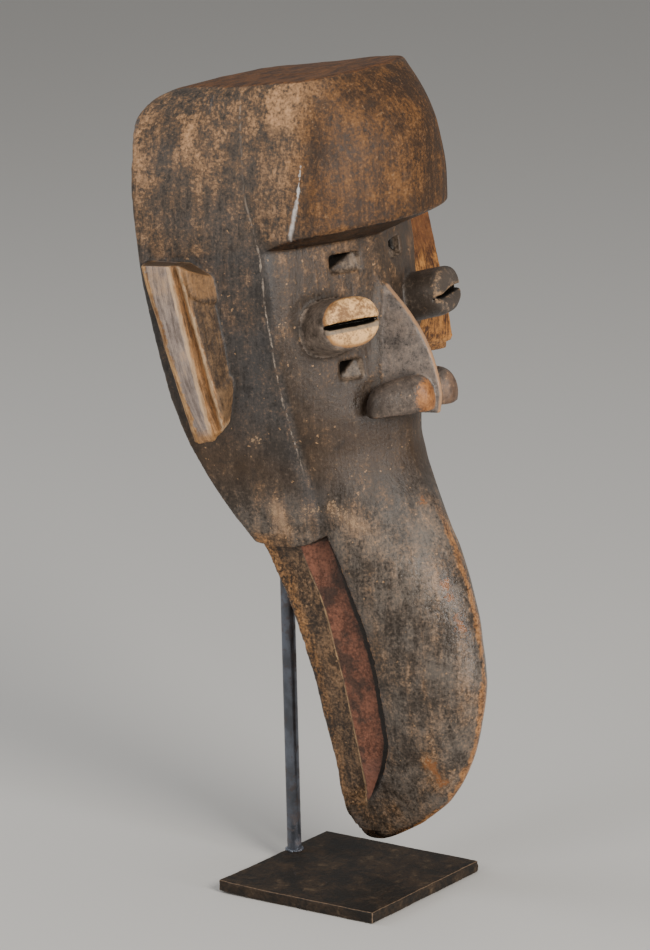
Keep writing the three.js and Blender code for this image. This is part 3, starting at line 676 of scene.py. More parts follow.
def mesh_from(name, points, faces, material):
    """Mesh object from arrays of points and of equal faces."""
    mesh = bpy.data.meshes.new(name)
    corners = faces.shape[1]
    mesh.vertices.add(len(points))
    mesh.vertices.foreach_set("co", np.asarray(points, np.float32).ravel())
    mesh.loops.add(faces.size)
    mesh.loops.foreach_set("vertex_index", faces.astype(np.int32).ravel())
    mesh.polygons.add(len(faces))
    mesh.polygons.foreach_set("loop_start", np.arange(0, faces.size, corners, dtype=np.int32))
    mesh.polygons.foreach_set("use_smooth", np.ones(len(faces), bool))
    mesh.update(calc_edges=True)
    mesh.validate()
    mesh.materials.append(material)
    return linked(name, mesh)


def plain_mesh(piece):
    """Puts what a piece's modifiers make into its own mesh and removes them."""
    seen = piece.evaluated_get(bpy.context.evaluated_depsgraph_get())
    mesh = bpy.data.meshes.new_from_object(seen)
    piece.modifiers.clear()
    old = piece.data
    piece.data = mesh
    mesh.name = piece.name
    bpy.data.meshes.remove(old)


def points_of(mesh):
    """A mesh's points as an array."""
    places = np.empty(len(mesh.vertices) * 3, np.float32)
    mesh.vertices.foreach_get("co", places)
    return places.reshape(-1, 3).astype(float)


def write_values(mesh, name, values):
    """Keeps one number or vector for each point of a mesh."""
    values = np.asarray(values, np.float32)
    kind, key = ("FLOAT_VECTOR", "vector") if values.ndim == 2 else ("FLOAT", "value")
    mesh.attributes.new(name, kind, "POINT").data.foreach_set(key, values.ravel())


def mask_places(block, points):
    """Where each point of the mask lies, for its finish: distances in millimetres."""
    half, forward, z = np.abs(points[:, 0]), points[:, 1], points[:, 2]
    left = points[:, 0] > 0
    near = softened(block.wood(), 1)
    along, length = along_side(half, forward, z)
    behind = np.interp(z, *LINE_BEHIND)
    strip = np.minimum(forward - JAW_FORWARD(z), CREASE_FORWARD(z) + 1.6 - forward)
    strip = np.minimum(strip, step_height(forward) - 0.3 - z)
    strip = np.minimum(strip, -side_form(half, forward, z) - 0.6)
    in_mouth = np.abs(mouth_form(half, forward, z)) < 1.5
    jaw = np.sign(forward - JAW_FORWARD(z)) * np.hypot(half - JAW_HALF(z), forward - JAW_FORWARD(z))
    corner = np.hypot(half - CORNER_HALF(z), forward - CORNER_FORWARD(z))
    under_brow = BROW_HEIGHT + BROW_SLOPE * forward - z
    across, inward, up = eye_place(half, forward, z)
    near_eye = (eye_round(across, inward, up, left) < 1.08) & (inward < 36)
    near_nose = (z > NOSE_BOTTOM - 3) & (z < NOSE_TOP)
    beside_band = np.maximum(np.abs(points[:, 0] - np.interp(z, *RUBBED_BAND)) - RUBBED_HALF, 0)
    slots = np.minimum(*(slot_form(half, forward, z, slot) for slot in SLOTS))
    return {
        "fine_edge": 0.5 - block.read(near, points),
        "broad_edge": 0.5 - block.read(softened(softened(near, 2), 4), points),
        "crease": np.hypot(along - length + behind, flat_side(half, forward, z)),
        "mouth": columns(np.where(in_mouth, strip, -20),
                         (CREASE_FORWARD(z) - forward) / np.maximum(JAW_DEPTH(z), 0.6)),
        "jaw": np.where((z < 203) & (z > 44), jaw, FAR_OFF),
        "brow": columns(np.where(z > 362, corner, FAR_OFF), under_brow,
                        z - crown_height(points[:, 0], forward)),
        "eye": columns(across, np.where(near_eye, inward, FAR_OFF), up + SLIT_DROP),
        "nose": columns(np.where(near_nose, np.hypot(half, forward - RIDGE(z)), 30),
                        nose_form(half, forward, z)),
        "culmen": np.where(z < 250, np.hypot(beside_band, forward - MIDDLE(z)), FAR_OFF),
        "lobe": lobe_form(half, forward, z),
        "slot": columns(np.clip(slots, -5, 20), face_at(half, z) - forward),
        "down": -block.outward(points)[:, 2],
        "ear": columns(along, flat_side(half, forward, z), z),
        "ear_ridges": ear_ridges(half, forward, z, left),
        "hollow": np.clip(hollow_form(half, forward, z), -20, 20),
        "side": side_form(half, forward, z),
        "marks": columns(beside_marks(points, PALE_MARKS), beside_marks(points, ORANGE_MARKS)),
    }


def beside_marks(points, marks):
    """Distance of points from the nearest mark's edge."""
    nearest = np.full(len(points), FAR_OFF)
    for start, end, half_width in marks:
        start, run = np.array(start), np.subtract(end, start)
        share = np.clip((points - start) @ run / (run @ run), 0, 1)
        away = np.linalg.norm(points - start - share[:, None] * run, axis=1)
        nearest = np.minimum(nearest, away - half_width)
    return nearest


def ear_ridges(half, forward, z, left):
    """Distance forward of an ear's rear ridge, front ridge and second ridge."""
    along, _ = along_side(half, forward, z)
    ridges = []
    for number in (2, 3, 6):
        there = []
        for side in (0, 1):
            height, *lines = ear_lines(side)[number]
            place, _ = along_side(*(np.interp(z, height, line) for line in lines), z)
            there.append(place)
        ridges.append(along - np.where(left, there[1], there[0]))
    return columns(*ridges)


def worn(block, points, places, sizes):
    """Points moved by tool marks, by chips along the edges and by the right ear's ragged foot."""
    out = block.outward(points)
    out /= np.maximum(np.linalg.norm(out, axis=1), 0.1)[:, None]
    lumps, chips = Lumps(MARKS_SEED), Lumps(CHIPS_SEED)
    waves = lumps.at(points, 17) + 0.5 * lumps.at(points, 7)
    edge = np.clip(places["fine_edge"] * 4, 0, 1)
    broken = np.clip(chips.at(points, 6) + 0.5 * chips.at(points, 2.5) - 0.35, 0, 1) * 2
    low = np.clip((RAGGED_BELOW - points[:, 2]) / RAGGED_OVER, 0, 1)
    ear_foot = low * (places["side"] > 1) * (points[:, 0] < 0)
    ragged = chips.at(points, 3.5) * 1.1 + chips.at(points, 1.7) * 0.6
    push = waves * sizes.adze_depth / MM - edge * broken * sizes.chip_depth / MM + ear_foot * ragged
    return points + out * push[:, None]


class Value:
    """A number inside a material, worked on with ordinary arithmetic."""

    def __init__(self, finish, socket):
        self.finish, self.socket = finish, socket

    def worked(self, operation, first, second):
        """Adds the Math node of one operation on two numbers."""
        math_node = self.finish.node("ShaderNodeMath", {"operation": operation}, {0: first, 1: second})
        return math_node.read("Value")

    def __add__(self, other):
        return self.worked("ADD", self, other)

    def __radd__(self, other):
        return self.worked("ADD", other, self)

    def __sub__(self, other):
        return self.worked("SUBTRACT", self, other)

    def __rsub__(self, other):
        return self.worked("SUBTRACT", other, self)

    def __mul__(self, other):
        return self.worked("MULTIPLY", self, other)

    def __rmul__(self, other):
        return self.worked("MULTIPLY", other, self)

    def __abs__(self):
        return self.worked("ABSOLUTE", self, 0.0)

    def most(self, other):
        """The larger of this number and another."""
        return self.worked("MAXIMUM", self, other)

    def fade(self, low, high):
        """Runs smoothly from 0 to 1 as this number goes from low to high."""
        return self.finish.node("ShaderNodeMapRange", {"interpolation_type": "SMOOTHSTEP"}, {
            "Value": self, "From Min": low, "From Max": high}).read("Result")


class Node:
    """A node of a material, read by the names of its outputs."""

    def __init__(self, finish, node):
        self.finish, self.node = finish, node

    def read(self, name):
        """The output of this name that is in use."""
        for socket in self.node.outputs:
            if socket.name == name and socket.enabled:
                return Value(self.finish, socket)
        raise KeyError(name)


class Finish:
    """A material built from expressions."""

    def __init__(self, name, colour):
        self.material = bpy.data.materials.new(name)
        self.material.use_nodes = True
        self.material.diffuse_color = (*colour, 1)
        self.tree = self.material.node_tree
        self.tree.nodes.clear()
        self.place = self.node("ShaderNodeTexCoord").read("Object")

    def node(self, kind, settings=None, inputs=None):
        """A node of one type, with its settings first and then its sockets' values or links."""
        made = self.tree.nodes.new(kind)
        for key, value in (settings or {}).items():
            if key == "stops":
                ramp = made.color_ramp.elements
                while len(ramp) > 1:
                    ramp.remove(ramp[-1])
                for k, (position, colour) in enumerate(value):
                    stop = ramp[0] if k == 0 else ramp.new(position)
                    stop.position, stop.color = position, (*colour, 1)
            else:
                setattr(made, key, value)
        for key, value in (inputs or {}).items():
            socket = made.inputs[key] if isinstance(key, int) else next(
                s for s in made.inputs if s.name == key and s.enabled)
            if isinstance(value, Value):
                self.tree.links.new(value.socket, socket)
            elif isinstance(value, tuple) and len(value) == 3 and socket.type == "RGBA":
                socket.default_value = (*value, 1)
            else:
                socket.default_value = value
        return Node(self, made)

    def number(self, name):
        """A number kept for each point of the mesh."""
        return self.node("ShaderNodeAttribute", {"attribute_name": name}).read("Fac")

    def parts(self, name):
        """Three numbers kept together for each point of the mesh."""
        apart = self.node("ShaderNodeSeparateXYZ", inputs={
            "Vector": self.node("ShaderNodeAttribute", {"attribute_name": name}).read("Vector")})
        return [apart.read(axis) for axis in "XYZ"]

    def stretched(self, scale, turn=(0, 0, 0)):
        """The place in the object, scaled and turned."""
        return self.node("ShaderNodeMapping", inputs={
            "Vector": self.place, "Scale": scale, "Rotation": turn}).read("Vector")

    def noise(self, size, detail, rough, of=None, bend=0.0):
        """Cloudy values whose lumps are about this many millimetres across."""
        return self.node("ShaderNodeTexNoise", inputs={
            "Vector": of or self.place, "Scale": PER_METRE / size, "Detail": detail, "Roughness": rough,
            "Distortion": bend}).read("Fac")

    def blend(self, share, first, second):
        """Colour between two, by a number from 0 to 1."""
        return self.node("ShaderNodeMix", {"data_type": "RGBA", "blend_type": "MIX", "clamp_factor": True}, {
            "Factor": share, "A": first, "B": second}).read("Result")

    def relief(self, height, depth, under=None):
        """Bumps of a height given from 0 to 1, this many millimetres deep."""
        inputs = {"Height": height, "Distance": depth * MM, "Strength": 1.0}
        if under is not None:
            inputs["Normal"] = under
        return self.node("ShaderNodeBump", inputs=inputs).read("Normal")

    def done(self, **sockets):
        """Ends the material with one glossy shader."""
        shader = self.node("ShaderNodeBsdfPrincipled", inputs={
            key.replace("_", " "): value for key, value in sockets.items()})
        self.node("ShaderNodeOutputMaterial", inputs={"Surface": shader.read("BSDF")})
        return self.material


# Near-black colours: the first serves dark mottling and painted shade in hollows and corners, the second
# painted shade deep in the eye slits and the slots
SOOT_AND_SHADE, DEEP_SHADE_PAINT = (0.012, 0.009, 0.007), (0.008, 0.006, 0.004)


def toned(colour, times):
    """A colour made this many times as bright."""
    return tuple(min(1, part * times) for part in colour)


class OldWood(Finish):
    """Handled dark wood, laid on in layers that follow the mask's own creases, ridges and edges."""

    def __init__(self, colours):
        super().__init__("old patinated wood", tuple(colours.patina))
        self.dark, self.brown, self.tan, self.ochre, self.pale, self.red = (
            tuple(getattr(colours, key)) for key in ("patina", "brown", "tan", "ochre", "lids", "mouth"))
        position = self.node("ShaderNodeSeparateXYZ", inputs={"Vector": self.place})
        self.height = position.read("Z") * PER_METRE
        self.forward = position.read("Y") * -PER_METRE
        # 1 on the mask's left, which is the far side from the camera, and 0 on its right
        self.far = (position.read("X") * PER_METRE - MASK_ACROSS).fade(-1, 1)

        # Cloudy values from broad to fine, each about 0 but for the two grains
        self.broad = self.noise(60, 3, 0.55) - 0.5
        self.patches = self.noise(22, 5, 0.6) - 0.5
        self.small = self.noise(6, 5, 0.68) - 0.5
        self.dots = self.noise(1.6, 4, 0.7) - 0.5
        self.grain = self.noise(2.0, 3, 0.6, of=self.stretched((1, 1, 0.07)))
        self.long_grain = self.noise(8, 4, 0.65, of=self.stretched((1, 1, 0.14)))

        # What mask_places keeps for each point
        self.fine_edge, self.broad_edge, self.crease, self.jaw, self.culmen, self.lobe = (
            self.number(name) for name in ("fine_edge", "broad_edge", "crease", "jaw", "culmen", "lobe"))
        self.down, self.hollow, self.side = (self.number(name) for name in ("down", "hollow", "side"))
        self.mouth, self.deep_corner, _ = self.parts("mouth")
        self.nose, self.nose_skin, _ = self.parts("nose")
        self.corner, self.under_brow, self.crown = self.parts("brow")
        self.eye_across, self.eye_in, self.eye_up = self.parts("eye")
        self.rear_ridge, self.front_ridge, self.second_ridge = self.parts("ear_ridges")
        self.slot, self.slot_depth, _ = self.parts("slot")
        self.pale_marks, self.orange_marks, _ = self.parts("marks")

        # Areas that more than one layer needs
        ragged_forward = self.forward + self.small * 12.0 + self.patches * 14.0
        self.brow_front = self.under_brow.fade(1, -1) * ragged_forward.fade(0, 22)
        self.beak = self.height.fade(250, 215) * self.crease.fade(1, 6)
        self.on_ear = self.side.fade(0.5, 1.0) * self.height.fade(354, 351.6)
        self.nose_side = ((self.nose_skin.fade(0.9, 0.3) + self.lobe.fade(1.4, 0.6) * 0.4)
                          * self.eye_in.fade(34, 40))
        # Streaks follow each ear from top to foot
        on_plank = self.node("ShaderNodeAttribute", {"attribute_name": "ear"}).read("Vector")
        on_plank = self.node("ShaderNodeVectorMath", {"operation": "MULTIPLY"}, {
            0: on_plank, 1: (0.001, 0.001, 0.00009)}).read("Vector")
        self.streak = self.noise(1.5, 5, 0.7, of=on_plank) - 0.5
        self.wear = ((self.fine_edge * 4.2 + self.small * 0.9 + self.dots * 0.8 + self.patches * 0.8)
                     .fade(0.5, 0.72) * self.slot.fade(1.5, 3.0))
        self.lid = (self.eye_in + self.small * 2.5).fade(4.6, 3.4)
        self.top = (self.crown + self.small * 2.0).fade(-1.2, -0.2)
        self.rubbed = self.rubbing()
        self.colour = self.node("ShaderNodeValToRGB", {"stops": (
            (0.0, toned(self.dark, 0.2)), (0.28, toned(self.dark, 0.6)), (0.45, self.dark),
            (0.6, self.brown), (0.78, self.tan), (1.0, toned(self.tan, 1.6)))},
            {"Fac": self.rubbed}).read("Color")

    def lay(self, share, paint):
        """Lays a paint over the colour so far, where the share is above 0."""
        self.colour = self.blend(share, self.colour, paint)

    def speckled(self, small, dots):
        """A number that varies around a half, so much in small patches and so much in dots."""
        return self.small * small + self.dots * dots + 0.5

    def two_tone(self, mix, low, high, first, second):
        """One colour where a number is low and another where it is high."""
        return self.blend(mix.fade(low, high), first, second)

    def rubbing(self):
        """How far the patina is rubbed: less in the hollows and low on the sides, more near the top."""
        height, forward, crease, under_brow = self.height, self.forward, self.crease, self.under_brow
        brow_front, beak = self.brow_front, self.beak
        front = crease.fade(2, 4) * forward.fade(-12, 4)
        off_crease = crease.fade(2, 5)
        block_side = height.fade(356, 372) * forward.fade(-50, -30) * (1.0 - brow_front)
        return (0.40 + self.broad * 0.45
                + self.patches * (0.85 - brow_front * 0.25 - beak * 0.25 - block_side * 0.4)
                + self.small * (0.65 - beak * 0.2) + self.dots * 1.1
                + (self.long_grain - 0.5) * 0.7 + (self.grain - 0.5) * 0.35 + beak * 0.03 + block_side * 0.02
                + self.pale_marks.fade(9, 0) * 0.08 + self.orange_marks.fade(9, 0) * 0.07
                + (under_brow.fade(1, -1) * off_crease * forward.fade(-16, -6)
                   * (1.0 - brow_front) * 0.14)
                - (under_brow.fade(4, 12) * off_crease * forward.fade(-4, 6)
                   * height.fade(200, 250) * 0.05)
                + height.fade(290, 430) * 0.14 - brow_front * 0.05
                + forward.fade(-48, -78) * height.fade(330, 400) * 0.08
                + height.fade(215, 190) * 0.05
                + under_brow.fade(60, 5) * under_brow.fade(-1, 3) * front * (self.patches + 0.2) * 0.3)

    def lay_tints(self):
        """Bluish-grey clouds on the sides and the beak, partly the wood's grey tone and partly a painted
        sheen; a painted sheen on the nose's sides; redder wood on the forehead and behind the mouth.
        """
        height, crease, jaw = self.height, self.crease, self.jaw
        patches, small, dots = self.patches, self.small, self.dots
        ahead = (self.forward + crease).fade(-2, 6)
        # Bluish-grey clouds, lighter on the beak: partly the wood's grey tone, partly a painted sheen
        bloom_and_sheen = self.noise(30, 4, 0.62) + small * 0.5 + dots * 0.6 + (self.grain - 0.5) * 0.4
        bloom_and_sheen = bloom_and_sheen.fade(0.34, 0.7) * height.fade(440, 330)
        face = height.fade(215, 245) * crease.fade(1, 6) * ahead * self.under_brow.fade(-1, 2)
        side_plane = height.fade(215, 245) * self.under_brow.fade(0, 6) * (1.0 - ahead)
        self.lay(bloom_and_sheen * (0.45 + height.fade(240, 200) * 0.1 - face * 0.3) * (1.0 - self.brow_front),
                 self.blend(height.fade(240, 200) * crease.fade(1, 8),
                            (0.068, 0.069, 0.073), (0.16, 0.138, 0.118)))
        self.lay(face * (0.4 + height.fade(300, 240) * 0.32), (0.05, 0.028, 0.014))
        self.lay(side_plane * 0.4, (0.032, 0.032, 0.034))
        self.lay(self.brow_front * 0.9,
                 self.two_tone(self.rubbed, 0.3, 0.8, (0.038, 0.017, 0.006), (0.155, 0.064, 0.015)))
        # A lighter bluish grey on the nose's sides and lobes is a painted sheen over their mottled wood
        self.lay(self.nose_side * 0.7,
                 self.two_tone(small * 1.2 + dots + patches + 0.5, 0.1, 0.9,
                               (0.098, 0.087, 0.082), (0.29, 0.235, 0.2)))
        behind_mouth = jaw.fade(1.0, -0.5) * height.fade(206, 196)
        rear_edge = (jaw + patches * 20.0 + small * 10.0).fade(-9, -17)
        self.lay(behind_mouth * 0.8,
                 self.two_tone(self.rubbed, 0.25, 0.8, (0.028, 0.016, 0.009),
                               self.blend(rear_edge, (0.25, 0.14, 0.068), (0.5, 0.23, 0.07))))
        self.lay(behind_mouth * (patches + small * 0.8).fade(0.06, 0.16) * 0.8, (0.012, 0.008, 0.006))

    def lay_stains(self):
        """Stains and specks, painted shade in hollows and corners and on down-facing surfaces, then fine
        mottling over all.
        """
        small, dots, patches = self.small, self.dots, self.patches
        stain = (self.noise(13, 5, 0.72, bend=0.5) + dots * 0.3).fade(0.57, 0.64)
        self.lay(stain * (0.5 - self.beak * 0.22), (0.02, 0.015, 0.012))
        specks = (self.noise(2.6, 2, 0.5) + patches * 0.3).fade(0.7, 0.76)
        self.lay(specks * (0.7 - self.brow_front * 0.45), (0.44, 0.26, 0.13))
        # Painted shade in hollows and corners, such as round the roots of the eye tubes
        self.lay((self.broad_edge * -2.6 - 0.1 + small * 0.4).fade(0.0, 0.6) * 0.8, SOOT_AND_SHADE)
        # Painted shade on surfaces that face down, such as under the brow, speckled with browner tool marks
        self.lay((self.down + small * 0.5).fade(0.5, 0.8) * 0.9,
                 self.two_tone(self.speckled(1.8, 1.5), 0.4, 1.0,
                               (0.004, 0.002, 0.001), (0.085, 0.032, 0.009)))
        mottled = dots * 1.8 + small * 0.8 + (self.grain - 0.5) * 0.7
        self.lay(mottled.fade(-0.05, -0.5) * 0.5, SOOT_AND_SHADE)
        self.lay(mottled.fade(0.08, 0.6) * 0.2, (0.42, 0.28, 0.17))

    def lay_wear(self):
        """Chips, worn edges, the beak's rubbed and notched ridge and the nose's pale one."""
        height, small, dots, patches = self.height, self.small, self.dots, self.patches
        chip = (self.pale_marks + small * 20.0 + dots * 24.0 + 1.2).fade(0.4, -0.4)
        self.lay(chip * 0.8, self.blend(dots + 0.5, (0.2, 0.11, 0.055), (0.52, 0.37, 0.23)))
        chip = (self.orange_marks + small * 18.0 + dots * 16.0 + 0.3).fade(0.6, -0.6)
        self.lay(chip * 0.7, self.blend(dots + 0.5, (0.14, 0.05, 0.016), (0.42, 0.17, 0.055)))
        self.lay(self.wear * 0.75, self.blend(dots + 0.5, self.ochre, self.tan))
        ridge = (self.culmen - 1.6 - patches * 12.0 - small * 8.0 - dots * 5.0).fade(1.4, -1.2)
        self.lay(ridge * height.fade(222, 192),
                 self.two_tone(self.speckled(1.5, 1.5), 0.1, 0.9, (0.07, 0.03, 0.012), (0.42, 0.2, 0.075)))
        # Cuts across the beak's ridge, 19 mm apart
        cuts = self.node("ShaderNodeMath", {"operation": "PINGPONG"}, {0: height + small * 4.0, 1: 9.5})
        notch = (cuts.read("Value").fade(0.7, 0.3) * self.culmen.fade(5.0, 3.5)
                 * height.fade(130, 140) * height.fade(196, 186))
        self.lay(notch * (small + 0.6), (0.03, 0.014, 0.007))
        self.lay((self.nose + small * 2.5).fade(2.0, 0.9) * 0.85, (0.42, 0.235, 0.12))

    def lay_scratches_and_glint(self):
        """White and tan lines along the crease, the forehead's corner and the jaw; the forehead's corner
        line is partly a painted highlight on that ridge.
        """
        height, small, dots, patches = self.height, self.small, self.dots, self.patches
        line = (self.crease + small * 1.8 + dots * 1.5).fade(0.65, 0.2) * height.fade(228, 250)
        line = line * (0.6 + patches * 2.5)
        self.lay(line * (1.0 - height.fade(350, 372) * 0.6), (0.42, 0.34, 0.27))
        # The forehead's corner line, orange above and white below, is partly a worn scratch and partly a
        # painted highlight where that ridge catches the light
        corner = (self.corner + small * 2.6 + dots * 2.0).fade(height.fade(396, 376) * 1.2 + 0.55, 0.2)
        white = self.two_tone(dots + 0.5, 0.3, 0.55, (0.5, 0.45, 0.4), (0.78, 0.75, 0.73))
        self.lay(corner * (0.5 + patches * 1.8 + height.fade(400, 390) * 0.4),
                 self.two_tone(height, 410, 396, (0.4, 0.19, 0.07), white))
        jaw_line = (abs(self.jaw) + small * 2.6 + dots * 1.6 + 0.1).fade(0.6, 0.1) * height.fade(192, 172)
        self.lay(jaw_line * (0.6 + patches * 2.0), (0.42, 0.27, 0.14))

    def lay_mouth(self):
        """The mouth: dark red-brown, pinker near its corner and at its lower end, with a painted shadow
        under the upper beak's edge.
        """
        height, small, dots, patches = self.height, self.small, self.dots, self.patches
        paint = self.two_tone(small * 1.4 + dots * 1.6 + self.long_grain * 0.6 + 0.22, 0.2, 0.8,
                              toned(self.red, 0.35), self.red)
        pink = (patches * 2.0 + height.fade(90, 60) * 0.7 + height.fade(180, 196) * 0.4).fade(0.2, 0.7)
        paint = self.blend(pink * 0.7, paint, (0.21, 0.095, 0.07))
        paint = self.blend((patches + small * 0.6).fade(0.0, 0.14) * 0.8, paint, (0.02, 0.013, 0.011))
        # Painted shadow on the strip just under the upper beak's overhanging edge
        paint = self.blend((self.deep_corner + small * 0.4).fade(0.98, 0.82), paint, (0.008, 0.005, 0.004))
        self.lay(self.mouth.fade(0.0, 0.8) * 0.92, paint)

    def lay_ears(self):
        """The ears: pale streaked facet with tan edges, ochre groove, brown front wall, dark top, and
        painted shade on the near ear's rear wall.
        """
        height, far, streak = self.height, self.far, self.streak
        small, dots, patches = self.small, self.dots, self.patches
        near = 1.0 - far
        streaked = streak * 1.9 + dots * 0.5 + patches * 0.8 + 0.5
        facet = self.two_tone(streaked, 0.0, 1.0, (0.09, 0.068, 0.059), (0.39, 0.31, 0.265))
        facet = self.blend(height.fade(320, 275) * 0.42, facet, (0.1, 0.078, 0.072))
        warm = (patches * 2.0 + streak * 1.5 + height.fade(300, 345) * 0.25).fade(0.1, 0.7)
        facet = self.blend(warm * 0.65, facet, (0.4, 0.24, 0.12))
        groove = self.two_tone(streaked, 0.1, 0.9, (0.06, 0.03, 0.013), (0.44, 0.22, 0.085))
        wall_mix = (small * 1.2 + dots + streak * 0.8 + 0.5 - height.fade(334, 331) * 0.17
                    + height.fade(290, 280) * 0.25)
        wall = self.two_tone(wall_mix, 0.1, 0.9, (0.035, 0.022, 0.014), (0.2, 0.115, 0.055))
        wall = self.blend(height.fade(333, 335) * (small + dots + 0.4), wall, (0.3, 0.15, 0.055))
        ear = self.blend(self.front_ridge.fade(-0.3, 0.5), facet, groove)
        ear = self.blend(self.second_ridge.fade(1.0, 2.4), ear, wall)
        ear = self.blend((self.rear_ridge + small * 6.0 + dots * 3.0).fade(2.4, 1.2) * 0.9, ear,
                         self.two_tone(streaked, 0.2, 0.8, (0.16, 0.07, 0.022), (0.56, 0.32, 0.13)))
        # Painted shade on the near ear's rear wall, which faces back
        ear = self.blend(self.rear_ridge.fade(-1.0, -2.5) * near, ear, (0.02, 0.014, 0.01))
        ridges = (abs(self.front_ridge + small * 2.0) - 0.5).fade(0.7, 0.0).most(
            (abs(self.second_ridge + small * 3.0 + dots * 2.0) - 0.7).fade(0.9, 0.0))
        ear = self.blend(ridges * 0.85, ear, self.blend(streaked, (0.26, 0.15, 0.07), (0.56, 0.4, 0.25)))
        ear = self.blend((self.fine_edge * 4.2 + small * 0.9 + dots * 0.8).fade(0.62, 0.85) * 0.8, ear,
                         self.blend(streaked, (0.28, 0.15, 0.06), (0.6, 0.42, 0.25)))
        golden = self.two_tone(streaked + small, 0.2, 0.9, (0.055, 0.018, 0.005), (0.48, 0.205, 0.048))
        golden = self.blend(height.fade(326, 338) * 0.8, golden,
                            self.blend(small + 0.5, (0.02, 0.008, 0.004), (0.2, 0.06, 0.015)))
        ear = self.blend(far * 0.85, ear, golden)
        broken = (height + small * 9.0).fade(266, 261) * near
        ear = self.blend(broken * 0.85, ear, self.blend(streaked, (0.07, 0.028, 0.01), (0.42, 0.22, 0.08)))
        ear = self.blend(self.down.fade(-0.6, -0.85) * near * 0.9, ear,
                         self.blend(self.speckled(1, 1), (0.02, 0.014, 0.009), (0.09, 0.052, 0.028)))
        self.lay(self.on_ear, ear)

    def lay_eyes(self):
        """Soot-dark tubes: the right one keeps its cream lids, the left one only traces; painted shade fills
        the slits.
        """
        small, dots, patches, far, eye_in = self.small, self.dots, self.patches, self.far, self.eye_in
        tube = eye_in.fade(34, 26) * self.lobe.fade(0, 1)
        self.lay(tube * (0.72 + far * 0.1) * (0.9 + patches),
                 self.two_tone(self.speckled(1.6, 1) - far * 0.4, 0.1, 0.9,
                               (0.062, 0.05, 0.041), (0.34, 0.265, 0.21)))
        self.lay(tube * (self.fine_edge * 4.0 + small + dots + patches).fade(0.3, 0.6) * 0.7,
                 self.blend(dots + 0.5, (0.2, 0.1, 0.045), (0.5, 0.32, 0.17)))
        paint = self.two_tone(small * 2.0 + dots * 2.2 + patches * 1.5 + 0.6, 0.05, 0.85,
                              (0.25, 0.13, 0.055), self.pale)
        paint = self.blend((eye_in + dots * 3.0).fade(1.6, 3.4) * 0.8, paint, self.ochre)
        bevel = self.eye_up.fade(-0.6, -1.4) * self.eye_up.fade(-4.6, -3.6) * eye_in.fade(0.1, 0.6)
        self.lay(self.lid * (1.0 - far), self.blend(bevel * 0.8, paint, (0.19, 0.17, 0.14)))
        # Painted shade inside the slit between the lids
        inside_slit = (eye_in.fade(14, 13) * eye_in.fade(1.2, 2.4) * abs(self.eye_up).fade(2.2, 1.8)
                       * abs(self.eye_across).fade(17.4, 16.6))
        self.lay(inside_slit, DEEP_SHADE_PAINT)

    def lay_bare_wood(self):
        """Rubbed ends of the nostril lobes, chiselled slots with painted shade deep inside, the raw hollow
        and the crown's end grain.
        """
        small, dots, slot = self.small, self.dots, self.slot
        lobe_front = (self.lobe.fade(1.0, 0.3) * (self.forward + small * 9.0 + dots * 5.0).fade(53.5, 56)
                      * (1.0 - self.far * 0.8))
        self.lay(lobe_front * 0.9,
                 self.blend(self.speckled(2.0, 2.0), (0.11, 0.036, 0.01), (0.46, 0.19, 0.055)))
        self.lay(slot.fade(0.5, 0.1) * 0.9,
                 self.two_tone(self.speckled(2.0, 1.5), 0.2, 0.9,
                               (0.045, 0.032, 0.024), (0.21, 0.155, 0.11)))
        # Painted shade deep in the slots
        self.lay(slot.fade(0.5, 0.1) * self.slot_depth.fade(2.6, 5.5), DEEP_SHADE_PAINT)
        self.lay(self.hollow.fade(1.6, 0.6),
                 self.two_tone(self.long_grain + small * 0.5, 0.35, 0.7,
                               (0.02, 0.013, 0.009), (0.075, 0.048, 0.03)))
        end_grain = self.noise(3.5, 5, 0.7, of=self.stretched((0.25, 1, 1), (0, 0, 0.5))) - 0.5
        self.lay(self.top * 0.9,
                 self.two_tone(end_grain * 2.0 + dots + 0.5, 0.2, 0.9,
                               (0.034, 0.012, 0.004), (0.18, 0.068, 0.017)))

    def polish(self):
        """Gloss and relief, which end the material."""
        height = self.height
        rough = (0.44 + self.patches * 0.35 + self.small * 0.3 + self.dots * 0.4 + self.wear * 0.12
                 + self.hollow.fade(1.6, 0.6) * 0.3
                 + self.beak * (height.fade(175, 205) * 0.06 - height.fade(200, 165) * 0.2)
                 - self.nose_side * 0.09 + self.brow_front * 0.14
                 + self.on_ear * 0.1 + self.lid * 0.2 + self.top * 0.2)
        relief = self.relief(self.grain, 0.2)
        for bumps, depth in ((self.long_grain, 0.35), (self.small + 0.5, 0.36), (self.dots + 0.5, 0.26),
                             (self.streak * self.on_ear + 0.5, 0.35)):
            relief = self.relief(bumps, depth, relief)
        return self.done(Base_Color=self.colour, Roughness=rough, Normal=relief, Specular_IOR_Level=0.36)


def old_wood(colours):
    """Grey-brown patina rubbed to tan, with pale lids, streaked ears and a red-brown mouth."""
    wood = OldWood(colours)
    for layer in (wood.lay_tints, wood.lay_stains, wood.lay_wear, wood.lay_scratches_and_glint, wood.lay_mouth,
                  wood.lay_ears, wood.lay_eyes, wood.lay_bare_wood):
        layer()
    return wood.polish()


